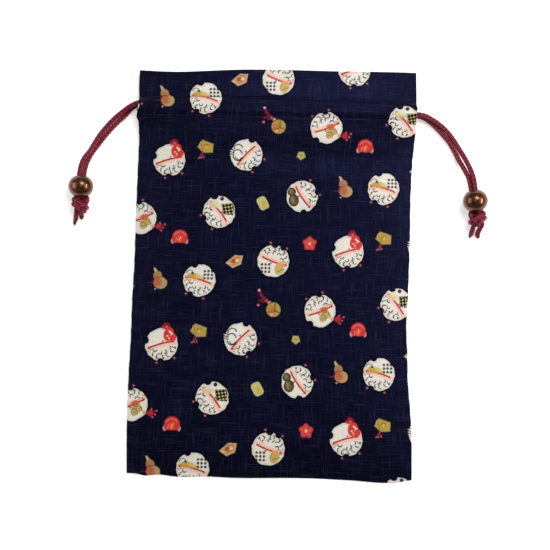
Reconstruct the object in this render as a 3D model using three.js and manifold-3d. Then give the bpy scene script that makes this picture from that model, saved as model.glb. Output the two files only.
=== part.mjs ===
// Kinchaku: a flat drawstring pouch, lying on its back with its mouth towards +Y.
//
// Two cotton panels are sewn together along the bottom and both sides. Each panel's top is
// folded over to the inside and stitched down along two lines, which leaves a casing that is
// open at both side slits. Two braided cords run round the mouth through both casings. Each
// leaves at its own side as a pair of strands, goes through a bead and ends in a knot.
//
// Millimetres. +Z is up out of the front panel, +X is to the right as the front is looked at,
// and the origin is under the middle of the pouch, on the surface that it lies on.

import * as THREE from 'three';
import { mergeVertices } from 'three/addons/utils/BufferGeometryUtils.js';
import Module from 'manifold-3d';

const wasm = await Module();
wasm.setup();

// ---- Pouch -------------------------------------------------------------------------------

const HALF_HEIGHT = 131; // bottom seam to middle, and middle to the fold at the mouth
const CLOTH = 1.0; // one wall, with the loft of the cloth
const LAP = 0.3; // air between two walls that lie on each other
const PANEL_STEPS = 22; // divisions of a panel from side to side

// Half the pouch's width at each height: a slight waist, and full bottom corners.
const HALF_WIDTH = [[-131, 91.2], [-95, 90.2], [-40, 88.2], [20, 87.9], [131, 88.3]];

// Casing: the channel between the two stitch lines, and the sleeve of cloth round it.
const CHANNEL_LOW = 100.6;
const CHANNEL_HIGH = 110.6;
const CHANNEL_DEPTH = 3.6;
const SLEEVE = CHANNEL_DEPTH + 2 * CLOTH;
const SEAM = 1.8; // cloth beyond the channel, taken up by each line of stitches
const SLIT_HEM = 2.7; // the sleeve's ends are turned back this far from the slit

// How far the front panel's middle stands above its sides, at each height.
const LIFT = [
  [-131, 0], [-118, 3.6], [-95, 5.2], [-40, 6.2], [20, 7.4], [80, 8.8],
  [98, 5.0], [113, 5.0], [131, 9.6],
];
const LIFT_POWER = 3; // the crown is broad: it falls away mostly near the sides

// ---- Cords and beads ---------------------------------------------------------------------

const CORD_RADIUS = 1.5;
const CORD_SIDES = 8;
const LANE_STEPS = 19; // divisions of a cord along one casing

const BEAD_RADIUS = 8;
const BEAD_HALF_LENGTH = 6.75;
const BEAD_BORE_RADIUS = 3.4;
const BEAD_FACETS = 32;
const BEAD_ARC_STEPS = 12;

const KNOT_BELOW_BEAD = 11.35; // bead centre to knot centre
const KNOT_HEIGHT = 5.7;
const KNOT_FACETS = 16;

// The middle line of each pair of strands, from the slit to the knot:
// [x, y, z, half the distance between the strands, how far the pair is turned up on edge, deg].
const LEFT_PAIR = [
  [-90.5, 106.9, 5.3, 2.5, 85],
  [-94.5, 104.6, 4.3, 1.9, 70],
  [-98.0, 101.6, 3.2, 1.65, 45],
  [-102.5, 97.6, 2.3, 1.6, 20],
  [-107.2, 92.8, 1.65, 1.6, 0],
  [-112.6, 86.2, 1.7, 1.6, 0],
  [-116.2, 80.6, 2.6, 1.6, 0],
  [-119.4, 75.6, 4.9, 1.6, 0],
  [-122.3, 71.6, 7.0, 1.6, 0],
  [-124.0, 68.2, 7.95, 1.6, 0],
  [-124.42, 60.0, 8.0, 1.6, 0],
  [-124.7, 53.1, 8.0, 1.6, 0],
  [-124.97, 46.4, 8.0, 1.6, 0],
];
const RIGHT_PAIR = [
  [90.5, 103.7, 5.3, 2.5, 85],
  [95.0, 102.7, 4.3, 1.8, 75],
  [99.4, 100.4, 3.3, 1.6, 60],
  [104.0, 97.0, 2.7, 1.6, 40],
  [108.3, 93.0, 2.2, 1.65, 20],
  [112.6, 88.0, 1.7, 1.75, 0],
  [116.2, 82.4, 1.8, 2.0, 0],
  [119.0, 77.2, 3.2, 2.15, 0],
  [121.4, 72.4, 5.4, 2.0, 5],
  [123.3, 68.4, 7.2, 1.75, 15],
  [125.05, 64.2, 7.95, 1.6, 30],
  [126.6, 57.14, 8.0, 1.6, 40],
  [128.2, 49.3, 8.0, 1.6, 45],
  [129.54, 42.73, 8.0, 1.6, 45],
];

// Each side's lane in the casings, its bead and knot, and the two strands below its knot.
const SIDES = {
  left: {
    sign: -1,
    lane: 107.8,
    pair: LEFT_PAIR,
    bead: [-124.7, 53.1],
    beadAxis: [0.04, 1],
    knotRadii: [5.6, 4.1, 5.4],
    tails: [
      [[-127.2, 36.9, 3.9], [-128.4, 32.2, 2.0], [-128.5, 27.9, 1.6]],
      [[-124.0, 37.4, 3.9], [-123.2, 34.8, 2.4], [-123.0, 32.3, 1.7]],
    ],
  },
  right: {
    sign: 1,
    lane: 103.4,
    pair: RIGHT_PAIR,
    bead: [128.2, 49.3],
    beadAxis: [-0.2, 0.98],
    knotRadii: [5.2, 4.1, 5.2],
    tails: [
      [[131.7, 33.2, 3.9], [131.9, 29.0, 1.9], [131.5, 25.3, 1.6]],
      [[128.3, 33.0, 3.9], [126.4, 28.8, 1.9], [125.3, 25.2, 1.6]],
    ],
  },
};

// ---- Materials ---------------------------------------------------------------------------

const navyCotton = new THREE.MeshStandardMaterial({ color: 0x14142e, roughness: 0.9, metalness: 0 });
const burgundyBraid = new THREE.MeshStandardMaterial({ color: 0x7a1a30, roughness: 0.7, metalness: 0 });
const bronzeBead = new THREE.MeshStandardMaterial({ color: 0x6b4529, roughness: 0.25, metalness: 0.6 });

// ---- Solids ------------------------------------------------------------------------------

function solidOf(geometry) {
  const bare = geometry.clone();
  bare.deleteAttribute('normal');
  bare.deleteAttribute('uv');
  const merged = mergeVertices(bare, 1e-4);
  return new wasm.Manifold(new wasm.Mesh({
    numProp: 3,
    vertProperties: new Float32Array(merged.attributes.position.array),
    triVerts: new Uint32Array(merged.index.array),
  }));
}

function geometryOf(solid) {
  const mesh = solid.getMesh();
  const geometry = new THREE.BufferGeometry();
  geometry.setAttribute('position', new THREE.BufferAttribute(mesh.vertProperties, 3));
  geometry.setIndex(new THREE.BufferAttribute(mesh.triVerts, 1));
  geometry.computeVertexNormals();
  return geometry;
}

// The value at x of the straight lines that join the points of a list of [x, value].
function along(list, x) {
  const next = Math.max(1, list.findIndex(([at]) => at >= x));
  const [x0, v0] = list[next - 1];
  const [x1, v1] = list[next];
  return THREE.MathUtils.lerp(v0, v1, THREE.MathUtils.clamp((x - x0) / (x1 - x0), 0, 1));
}

// 0 at either side of the pouch and 1 in its middle; t runs from -1 to 1 across it.
function crown(t) {
  return 1 - Math.abs(t) ** LIFT_POWER;
}

// ---- Panels ------------------------------------------------------------------------------

// Gives a closed form that spans -1 to 1 in x the pouch's outline and, for the front, its crown.
function shaped(geometry, lifted) {
  const position = geometry.attributes.position;
  for (let i = 0; i < position.count; i += 1) {
    const t = position.getX(i);
    const y = position.getY(i);
    const lift = lifted ? along(LIFT, y) * crown(t) : 0;
    position.setXYZ(i, t * along(HALF_WIDTH, y), y, position.getZ(i) + lift);
  }
  return solidOf(geometry);
}

// A sheet of cloth from side to side, through a list of [y, height of its underside].
function sheet(stations, thickness, lifted) {
  const rows = stations.length - 1;
  const geometry = new THREE.BoxGeometry(2, rows, thickness, PANEL_STEPS, rows, 1);
  geometry.translate(0, rows / 2, thickness / 2);
  const position = geometry.attributes.position;
  for (let i = 0; i < position.count; i += 1) {
    const [y, underside] = stations[Math.round(position.getY(i))];
    position.setXYZ(i, position.getX(i), y, position.getZ(i) + underside);
  }
  return shaped(geometry, lifted);
}

// The sleeve of cloth round a casing's channel, with its flat side at height z.
function sleeve(z, lifted) {
  const section = new THREE.Shape([
    [CHANNEL_LOW - SEAM, 0],
    [CHANNEL_HIGH + SEAM, 0],
    [CHANNEL_HIGH + CLOTH, SLEEVE - CLOTH],
    [CHANNEL_HIGH, SLEEVE],
    [CHANNEL_LOW, SLEEVE],
    [CHANNEL_LOW - CLOTH, SLEEVE - CLOTH],
  ].map((point) => new THREE.Vector2(...point)));
  section.holes.push(new THREE.Path([
    [CHANNEL_LOW, CLOTH],
    [CHANNEL_LOW, CLOTH + CHANNEL_DEPTH],
    [CHANNEL_HIGH, CLOTH + CHANNEL_DEPTH],
    [CHANNEL_HIGH, CLOTH],
  ].map((point) => new THREE.Vector2(...point))));
  const geometry = new THREE.ExtrudeGeometry(section, { depth: 2, steps: PANEL_STEPS, bevelEnabled: false });
  const position = geometry.attributes.position;
  for (let i = 0; i < position.count; i += 1) {
    position.setXYZ(i, position.getZ(i) - 1, position.getX(i), position.getY(i) + z);
  }
  return shaped(geometry, lifted);
}

// What is folded away at a slit: the sleeve's end, between two heights.
function slitNotch(sign, bottom, top) {
  const notch = new THREE.BoxGeometry(2 * SLIT_HEM, CHANNEL_HIGH - CHANNEL_LOW + 2 * SEAM + LAP, top - bottom);
  const x = along(HALF_WIDTH, CHANNEL_LOW);
  notch.translate(sign * x, (CHANNEL_LOW + CHANNEL_HIGH) / 2, (bottom + top) / 2);
  return solidOf(notch);
}

function panel(name, parts, notchBottom, notchTop) {
  const sewn = parts.reduce((whole, part) => whole.add(part));
  const slit = [-1, 1].reduce((whole, sign) => whole.subtract(slitNotch(sign, notchBottom, notchTop)), sewn);
  const mesh = new THREE.Mesh(geometryOf(slit), navyCotton);
  mesh.name = name;
  return mesh;
}

const BODY_ROWS = [-HALF_HEIGHT, -118, -95, -40, 20, 80]; // where the outline or the crown turns
const CASING_FOOT = 98; // the side seams end here
const STITCH_LOW = CHANNEL_LOW - SEAM / 2;
const STITCH_HIGH = CHANNEL_HIGH + SEAM / 2;
const HEADING = 2 * CLOTH; // the panel and its turned-in hem, above the casing
const FRONT_FLOOR = CLOTH + LAP; // the front panel's underside at the side seams
const FRONT_SLEEVE = SLEEVE + LAP; // the same at the casing, on the back panel's sleeve

function backPanel() {
  return panel('back_panel', [
    sheet([...BODY_ROWS.map((y) => [y, 0]), [STITCH_LOW, 0]], CLOTH, false),
    sleeve(0, false),
    sheet([[STITCH_HIGH, 0], [HALF_HEIGHT, 0]], HEADING, false),
  ], CLOTH, FRONT_SLEEVE);
}

function frontPanel() {
  const body = [
    ...BODY_ROWS.map((y) => [y, FRONT_FLOOR]),
    [CASING_FOOT, FRONT_SLEEVE],
    [STITCH_LOW, FRONT_SLEEVE],
  ];
  return panel('front_panel', [
    sheet(body, CLOTH, true),
    sleeve(FRONT_SLEEVE, true),
    sheet([[STITCH_HIGH, FRONT_SLEEVE], [HALF_HEIGHT, HEADING + LAP]], HEADING, true),
  ], SLEEVE, FRONT_SLEEVE + SLEEVE - CLOTH);
}

// ---- Drawcords ---------------------------------------------------------------------------

// A curve that is divided at its own points and not evenly along its length, so that
// closely set points give a finely divided bend.
class CordRoute extends THREE.CatmullRomCurve3 {
  getPointAt(u, target) {
    return this.getPoint(u, target);
  }

  getTangentAt(u, target) {
    return this.getTangent(u, target);
  }
}

// The two strands of a pair, the front casing's first. Each point of the middle line is moved
// by the pair's half distance, along a line that is turned from level towards upright.
function strandsOf({ sign, pair }) {
  const middle = pair.map(([x, y, z]) => new THREE.Vector3(x, y, z));
  const offsets = pair.map(([, , , apart, turned], i) => {
    const onward = middle[Math.min(i + 1, middle.length - 1)].clone().sub(middle[Math.max(i - 1, 0)]);
    const outward = new THREE.Vector3(-onward.y, onward.x, 0).setLength(apart).multiplyScalar(sign);
    const onEdge = THREE.MathUtils.degToRad(turned);
    return outward.multiplyScalar(Math.cos(onEdge)).setZ(apart * Math.sin(onEdge));
  });
  return [1, -1].map((way) => middle.map((point, i) => point.clone().addScaledVector(offsets[i], way)));
}

const SLIT_X = along(HALF_WIDTH, CHANNEL_LOW) - SLIT_HEM; // the sleeves' ends
const BACK_LANE_Z = CLOTH + CHANNEL_DEPTH / 2;

// The front casing's middle height rises and falls with the crown.
function frontLaneZ(x) {
  const lift = along(LIFT, CHANNEL_LOW) * crown(x / along(HALF_WIDTH, CHANNEL_LOW));
  return FRONT_SLEEVE + BACK_LANE_Z + lift;
}

// The cord's run through both casings: along the front one, round the far slit in a
// half-circle, and back along the back one.
function casingRun({ sign, lane }) {
  const across = Array.from({ length: LANE_STEPS + 1 }, (_, i) => sign * SLIT_X * (1 - (2 * i) / LANE_STEPS));
  const front = across.map((x) => new THREE.Vector3(x, lane, frontLaneZ(x)));
  const back = across.toReversed().map((x) => new THREE.Vector3(x, lane, BACK_LANE_Z));
  const turnRadius = (frontLaneZ(SLIT_X) - BACK_LANE_Z) / 2;
  const turn = [0.25, 0.5, 0.75].map((part) => new THREE.Vector3(
    -sign * (SLIT_X + turnRadius * Math.sin(part * Math.PI)),
    lane,
    BACK_LANE_Z + turnRadius * (1 + Math.cos(part * Math.PI)),
  ));
  return [...front, ...turn, ...back];
}

function knotCentre({ bead, beadAxis }) {
  const axis = new THREE.Vector2(...beadAxis).normalize();
  return new THREE.Vector3(
    bead[0] - axis.x * KNOT_BELOW_BEAD,
    bead[1] - axis.y * KNOT_BELOW_BEAD,
    KNOT_HEIGHT,
  );
}

// One cord from end to end, joined to the lump of the knot that ties its two ends.
function drawcord(name, side) {
  const centre = knotCentre(side);
  const [frontStrand, backStrand] = strandsOf(side);
  const [frontTail, backTail] = side.tails.map((tail) => tail.map((point) => new THREE.Vector3(...point)));
  const route = new CordRoute([
    ...frontTail.toReversed(),
    centre,
    ...frontStrand.toReversed(),
    ...casingRun(side),
    ...backStrand,
    centre,
    ...backTail,
  ], false, 'centripetal');
  const round = new THREE.Shape(Array.from({ length: CORD_SIDES }, (_, i) => {
    const angle = (2 * Math.PI * i) / CORD_SIDES;
    return new THREE.Vector2(CORD_RADIUS * Math.cos(angle), CORD_RADIUS * Math.sin(angle));
  }));
  const braid = new THREE.ExtrudeGeometry(round, {
    steps: route.points.length - 1,
    extrudePath: route,
    bevelEnabled: false,
  });
  const lump = new THREE.SphereGeometry(1, KNOT_FACETS, KNOT_FACETS / 2);
  lump.scale(...side.knotRadii);
  lump.translate(centre.x, centre.y, centre.z);
  const mesh = new THREE.Mesh(geometryOf(solidOf(braid).add(solidOf(lump))), burgundyBraid);
  mesh.name = name;
  return mesh;
}

// ---- Beads -------------------------------------------------------------------------------

// A flattened round bead, bored through its short way: an arc of an ellipse, closed by the bore.
function bead(name, side) {
  const poleToCentre = BEAD_HALF_LENGTH / Math.sqrt(1 - (BEAD_BORE_RADIUS / BEAD_RADIUS) ** 2);
  const last = Math.asin(BEAD_HALF_LENGTH / poleToCentre);
  const arc = Array.from({ length: BEAD_ARC_STEPS + 1 }, (_, i) => {
    const angle = last * ((2 * i) / BEAD_ARC_STEPS - 1);
    return new THREE.Vector2(BEAD_RADIUS * Math.cos(angle), poleToCentre * Math.sin(angle));
  });
  const mesh = new THREE.Mesh(new THREE.LatheGeometry([...arc, arc[0]], BEAD_FACETS), bronzeBead);
  mesh.name = name;
  mesh.position.set(side.bead[0], side.bead[1], BEAD_RADIUS);
  mesh.rotation.z = -Math.atan2(side.beadAxis[0], side.beadAxis[1]);
  return mesh;
}

// ---- Assembly ----------------------------------------------------------------------------

const pouch = new THREE.Group();
pouch.add(
  backPanel(),
  frontPanel(),
  drawcord('left_drawcord', SIDES.left),
  drawcord('right_drawcord', SIDES.right),
  bead('left_bead', SIDES.left),
  bead('right_bead', SIDES.right),
);

export default pouch;
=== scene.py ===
# Kinchaku: a flat drawstring pouch of printed navy cotton, lying empty on its back, with two
# burgundy drawcords that leave it at the side slits and end in a bead and a knot.

import bpy
import numpy as np
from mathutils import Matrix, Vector


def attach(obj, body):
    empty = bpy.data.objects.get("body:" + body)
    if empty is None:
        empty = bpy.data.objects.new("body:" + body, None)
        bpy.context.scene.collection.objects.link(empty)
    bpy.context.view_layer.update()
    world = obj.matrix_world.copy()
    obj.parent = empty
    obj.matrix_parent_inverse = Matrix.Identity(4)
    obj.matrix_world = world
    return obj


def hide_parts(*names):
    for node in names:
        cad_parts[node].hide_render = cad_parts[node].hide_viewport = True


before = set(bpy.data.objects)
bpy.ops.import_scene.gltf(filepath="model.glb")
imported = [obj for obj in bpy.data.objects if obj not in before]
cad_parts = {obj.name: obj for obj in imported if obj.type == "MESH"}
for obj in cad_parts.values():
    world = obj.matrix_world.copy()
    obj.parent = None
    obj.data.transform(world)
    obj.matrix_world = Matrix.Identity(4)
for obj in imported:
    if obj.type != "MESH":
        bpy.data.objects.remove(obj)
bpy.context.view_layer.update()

# ---- Table, light and camera --------------------------------------------------------------
# The pouch lies on a plain white table. A soft light hangs over it towards the top and a
# broad one on the left, with small ones that show in the beads. It is seen from straight above.

MM = 0.001  # lengths below are in millimetres where they carry this factor

TABLE_SIZE = 6.0


def set_inputs(node, settings):
    """Sets some of a node's inputs, by name, to constants."""
    for name, value in settings.items():
        node.inputs[name].default_value = value


def new_material(name, settings):
    """A material, its node tree and its shader, with the shader's constant settings."""
    material = bpy.data.materials.new(name)
    material.use_nodes = True
    shader = material.node_tree.nodes["Principled BSDF"]
    set_inputs(shader, settings)
    return material, material.node_tree, shader


table_mesh = bpy.data.meshes.new("table")
corners = np.array([(-1, -1, 0), (1, -1, 0), (1, 1, 0), (-1, 1, 0)]) * TABLE_SIZE / 2
table_mesh.from_pydata(corners.tolist(), [], [(0, 1, 2, 3)])
table = bpy.data.objects.new("table", table_mesh)
bpy.context.scene.collection.objects.link(table)
table_white, _, _ = new_material("table_white", {
    "Base Color": (0.96, 0.96, 0.96, 1),
    "Roughness": 0.7,
    "Specular IOR Level": 0.1,
    "Emission Color": (1, 1, 1, 1),
    "Emission Strength": 0.45,
})
table_mesh.materials.append(table_white)

room = bpy.data.worlds.new("room")
room.use_nodes = True
set_inputs(room.node_tree.nodes["Background"], {"Color": (1.0, 0.99, 0.98, 1), "Strength": 0.09})
bpy.context.scene.world = room


def soft_light(name, place, width, height, watts, tint=(1.0, 0.98, 0.95)):
    """A flat lamp of that size in metres, turned to shine at the middle of the table."""
    lamp = bpy.data.lights.new(name, "AREA")
    lamp.shape = "RECTANGLE"
    lamp.size = width
    lamp.size_y = height
    lamp.energy = watts
    lamp.color = tint
    hung = bpy.data.objects.new(name, lamp)
    hung.location = place
    hung.rotation_mode = "QUATERNION"
    hung.rotation_quaternion = (-Vector(place)).to_track_quat("-Z", "Y")
    bpy.context.scene.collection.objects.link(hung)


soft_light("main_light", (0.26, 0.62, 1.08), 0.55, 0.45, 8.5)
soft_light("left_light", (-1.35, 0.10, 0.70), 1.3, 0.9, 10.0)
soft_light("overhead_light", (-0.05, 0.03, 1.05), 0.15, 0.08, 0.35, (1.0, 0.93, 0.82))
# Four narrow lamps on the right, like the panes of a window, which show as a row in the beads.
WINDOW_PANES = ((0.36, 0.10), (0.13, 0.07), (-0.10, 0.08), (-0.34, 0.11))  # place and width
for n, (place, wide) in enumerate(WINDOW_PANES):
    soft_light(f"window_pane_{n}", (1.15, place, 0.72), wide, 0.12, 3.0, (1.0, 0.90, 0.88))

CAMERA_HEIGHT = 0.84
CAMERA_TURN = np.radians(1.27)  # the pouch leans a little to the right in the picture
camera = bpy.data.objects.new("camera", bpy.data.cameras.new("camera"))
camera.data.lens = 85
camera.data.sensor_width = 36
camera.location = (0.9 * MM, -1.0 * MM, CAMERA_HEIGHT)
camera.rotation_euler = (0, 0, CAMERA_TURN)
bpy.context.scene.collection.objects.link(camera)
bpy.context.scene.camera = camera
bpy.context.scene.view_settings.view_transform = "Standard"

# ---- Drawcords ----------------------------------------------------------------------------
# Each drawcord is one length of round braid, sixteen burgundy yarns woven over each other
# round nothing. It runs through both casings and back out of the slit that it entered by,
# and its two ends go through the bead together and are tied in one overhand knot.

CORD = 3.0  # diameter
BRAID_COLUMNS = 8  # yarns of one hand, counted round the cord
BRAID_PITCH = 10.4  # a yarn's advance along the cord in one full turn
YARN_STEP = 0.22  # how far the braid's surface rises and falls under a yarn
YARN_LOFT = 0.24  # the roundness of a single yarn
YARN_MIDDLE = 0.68  # the height between gap and yarn that lies on the cord's own radius
RING_SPACING = 0.16
RING_SIDES = 32

# The middle line of each pair of strands, from the slit into the bead:
# x, y, z, half the distance between the strands, how far the pair is turned up on edge, deg.
LEFT_PAIR = [
    (-90.5, 106.9, 5.3, 2.5, 85),
    (-94.5, 104.6, 4.3, 1.9, 70),
    (-98.0, 101.6, 3.2, 1.65, 45),
    (-102.5, 97.6, 2.8, 1.65, 30),
    (-107.2, 92.8, 2.5, 1.6, 20),
    (-112.6, 86.2, 2.4, 1.5, 18),
    (-116.2, 80.6, 3.1, 1.45, 42),
    (-119.2, 75.4, 5.0, 1.5, 60),
    (-121.6, 71.2, 6.8, 1.5, 35),
    (-123.2, 67.0, 7.8, 1.5, 12),
    (-124.42, 60.0, 8.0, 1.55, 0),
    (-124.7, 53.1, 8.0, 1.6, 0),
    (-124.97, 46.4, 8.0, 1.6, 0),
]
RIGHT_PAIR = [
    (90.5, 103.7, 5.3, 2.5, 85),
    (95.0, 102.7, 4.3, 1.8, 75),
    (99.4, 100.4, 3.3, 1.6, 60),
    (104.0, 97.0, 2.7, 1.6, 40),
    (108.3, 93.0, 2.2, 1.65, 20),
    (112.6, 88.0, 1.8, 1.55, 5),
    (116.2, 82.4, 1.9, 1.7, 0),
    (119.0, 77.2, 3.2, 1.95, 0),
    (121.4, 72.4, 5.4, 1.9, 5),
    (123.3, 68.4, 7.2, 1.7, 15),
    (125.05, 64.2, 7.95, 1.6, 30),
    (126.6, 57.14, 8.0, 1.6, 40),
    (128.2, 49.3, 8.0, 1.6, 45),
    (129.54, 42.73, 8.0, 1.6, 45),
]
# The knot's middle line from the bead's lower hole to the tails: outward from the pouch,
# along the bead's axis, up, and how far the pair is turned flat round the knot, deg.
KNOT = [
    (0.6, 3.4, 0.2, 0),
    (0.6, 0.6, -1.5, 0),
    (-0.3, -2.5, -1.3, 20),
    (-2.9, -3.4, 0.6, 60),
    (-3.4, -2.0, 2.9, 85),
    (-0.3, -0.4, 4.1, 90),
    (3.0, 0.9, 3.1, 90),
    (4.2, 1.4, 0.2, 90),
    (3.2, 1.8, -2.9, 90),
    (0.0, 1.9, -4.2, 90),
    (-3.1, 2.0, -2.8, 85),
    (-3.9, 2.4, 0.0, 60),
    (-2.0, 1.8, 1.6, 25),
    (-0.2, -1.0, 1.5, 0),
    (0.4, -4.0, 0.6, 0),
]
KNOT_HALF = 1.45
KNOT_BELOW_BEAD = 11.35
KNOT_HEIGHT = 5.85

SIDES = {
    "left": {
        "outward": -1,
        "lane": 107.8,
        "pair": LEFT_PAIR,
        "bead": (-124.7, 53.1),
        "bead_axis": (0.04, 1.0),
        "tails": [
            [(-127.2, 36.9, 3.9), (-128.4, 32.2, 2.0), (-128.5, 27.9, 1.6)],
            [(-125.0, 37.2, 3.7), (-124.8, 34.6, 2.3), (-124.4, 32.0, 1.7)],
        ],
    },
    "right": {
        "outward": 1,
        "lane": 103.4,
        "pair": RIGHT_PAIR,
        "bead": (128.2, 49.3),
        "bead_axis": (-0.2, 0.98),
        "tails": [
            [(130.8, 33.4, 3.7), (131.0, 29.4, 2.0), (131.1, 25.2, 1.6)],
            [(127.8, 33.2, 3.7), (127.1, 29.2, 2.0), (126.6, 25.4, 1.6)],
        ],
    },
}

SLIT_X = 85.49  # where the casings' sleeves end
BACK_LANE_Z = 2.8
FRONT_LANE_Z = 8.7  # at the side seams; the front casing rises with the crown of the pouch
FRONT_LANE_RISE = 5.0
CASING_HALF_WIDTH = 88.19
LANE_STEPS = 19


def front_lane_z(x):
    """The front casing's middle height: highest in the middle, falling by the cube of x."""
    return FRONT_LANE_Z + FRONT_LANE_RISE * (1 - np.abs(x / CASING_HALF_WIDTH) ** 3)


def pair_strands(side):
    """The pair's two strands: its middle line moved both ways by half the distance between
    them, along a line that turns from level, across the pair, towards upright."""
    rows = np.array(side["pair"])
    middle, apart, turned = rows[:, :3], rows[:, 3:4], np.radians(rows[:, 4:5])
    onward = np.gradient(middle, axis=0)[:, :2]
    across = np.stack([-onward[:, 1], onward[:, 0], 0 * onward[:, 0]], 1) * side["outward"]
    across /= np.linalg.norm(across, axis=1, keepdims=True)
    shift = apart * (across * np.cos(turned) + np.array([0, 0, 1]) * np.sin(turned))
    return middle + shift, middle - shift


def bead_direction(side):
    """The direction of the bead's hole, up the pouch."""
    return np.array([*side["bead_axis"], 0]) / np.linalg.norm(side["bead_axis"])


def knot_strands(side):
    """The same two strands through the knot, whose rows are set out from the bead's axis."""
    rows = np.array(KNOT)
    along = bead_direction(side)
    outward = side["outward"] * np.array([along[1], -along[0], 0])
    upward = np.array([0, 0, 1])
    centre = np.array([*side["bead"], KNOT_HEIGHT]) - along * KNOT_BELOW_BEAD
    middle = centre + rows[:, :3] @ np.stack([outward, along, upward])
    turned = np.radians(rows[:, 3:4])
    shift = KNOT_HALF * (outward * np.cos(turned) - along * np.sin(turned))
    return middle + shift, middle - shift


def casing_run(side):
    """Along the front casing, round the far slit in a half-circle, and back along the back."""
    near = side["outward"] * SLIT_X
    x = np.linspace(near, -near, LANE_STEPS + 1)
    lane = np.full_like(x, side["lane"])
    front = np.stack([x, lane, front_lane_z(x)], 1)
    back = np.stack([x, lane, np.full_like(x, BACK_LANE_Z)], 1)[::-1]
    radius = (front_lane_z(SLIT_X) - BACK_LANE_Z) / 2
    angle = np.pi * np.array([0.25, 0.5, 0.75])
    turn = np.stack([
        -near - side["outward"] * radius * np.sin(angle),
        lane[:3],
        BACK_LANE_Z + radius * (1 + np.cos(angle)),
    ], 1)
    return np.concatenate([front, turn, back])


def eased_between(value, slope, i, step, s):
    """A cubic from each value to the next, at the share s of the step, that has both slopes."""
    return (
        value[i] * (1 + 2 * s) * (1 - s) ** 2
        + value[i + 1] * s**2 * (3 - 2 * s)
        + slope[i] * step * s * (1 - s) ** 2
        + slope[i + 1] * step * s**2 * (s - 1)
    )


def smooth_line(points, spacing):
    """A cubic curve through the points, with each point's slope from its two neighbours, cut
    into equal steps. The parameter runs by the root of the distance, so it never loops."""
    points = np.asarray(points, float)
    gap = np.sqrt(np.linalg.norm(np.diff(points, axis=0), axis=1))
    at = np.concatenate([[0], np.cumsum(gap)])
    slope = np.gradient(points, at, axis=0)
    fine = np.linspace(0, at[-1], 40 * len(points))
    i = np.clip(np.searchsorted(at, fine, side="right") - 1, 0, len(gap) - 1)
    step = gap[i][:, None]
    s = (fine[:, None] - at[i][:, None]) / step
    return even_steps(eased_between(points, slope, i, step, s), spacing)


def even_steps(line, spacing):
    """The same line with its points the same distance apart."""
    run = np.concatenate([[0], np.cumsum(np.linalg.norm(np.diff(line, axis=0), axis=1))])
    steps = int(round(run[-1] / spacing))
    want = np.linspace(0, run[-1], steps + 1)
    return np.stack([np.interp(want, run, line[:, k]) for k in range(3)], 1)


PULL_STEP = 0.5  # between the points of a strand that is drawn tight
PULL_PASSES = 260
PULL, PART = 0.35, 0.2  # shares of a move that are made in one pass
PARTINGS = 3  # in each pass
LAID = 0.88  # neighbouring strands of a tight knot lie this share of a diameter apart
NEAR_ON_STRAND = 1.6  # diameters along a strand within which its points aren't parted
HELD = 8  # points at each end of the knot that stay where they are


def pull_tight(strands):
    """Draws the strands tight, apart from a few points at each end. In each pass every point
    moves towards the middle of its neighbours, then any two points nearer than a cord's
    width part."""
    count = [len(s) for s in strands]
    points = np.concatenate(strands)
    strand = np.repeat(np.arange(len(strands)), count)
    place = np.concatenate([np.arange(n) for n in count])
    ends = np.concatenate([np.arange(n)[::-1] for n in count])
    free = ((place >= HELD) & (ends >= HELD)).astype(float)[:, None]
    apart = LAID * CORD
    between = np.abs(place[:, None] - place[None]) * PULL_STEP
    far = (strand[:, None] != strand[None]) | (between > NEAR_ON_STRAND * CORD)
    for _ in range(PULL_PASSES):
        middle = points.copy()
        middle[1:-1] = (points[:-2] + points[2:]) / 2
        points += (middle - points) * free * PULL
        for _ in range(PARTINGS):
            gap = points[:, None] - points[None]
            length = np.linalg.norm(gap, axis=2) + 1e-9
            push = np.where(far & (length < apart), (apart - length) / length, 0)
            points += (gap * push[:, :, None]).sum(1) * free * PART
        points[:, 2] = np.maximum(points[:, 2], CORD / 2)
    return np.split(points, np.cumsum(count)[:-1])


KNOT_FROM = 2.0  # how far below the bead's middle the strands begin to be drawn tight


def whole_cord(side):
    """A drawcord from end to end, as [free strand, run in the casings, free strand]."""
    pairs, knots = pair_strands(side), knot_strands(side)
    free = [
        smooth_line(np.concatenate([p, k, np.array(t)]), PULL_STEP)
        for p, k, t in zip(pairs, knots, side["tails"])
    ]
    below_bead = [(np.array(side["bead"]) - f[:, :2]) @ bead_direction(side)[:2] for f in free]
    start = [int(np.argmax(below > KNOT_FROM)) for below in below_bead]
    knots = pull_tight([f[n:] for f, n in zip(free, start)])
    joined = [np.concatenate([f[:n], k]) for f, n, k in zip(free, start, knots)]
    free = [even_steps(line, PULL_STEP) for line in joined]
    run = casing_run(side)
    route = smooth_line(np.concatenate([free[0][::-1], run, free[1]]), RING_SPACING)
    slit_x = side["pair"][0][0]
    outside = route[:, 0] * side["outward"] > slit_x * side["outward"]
    first = int(np.argmin(outside))
    last = len(outside) - int(np.argmin(outside[::-1]))
    return route, first, last


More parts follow.
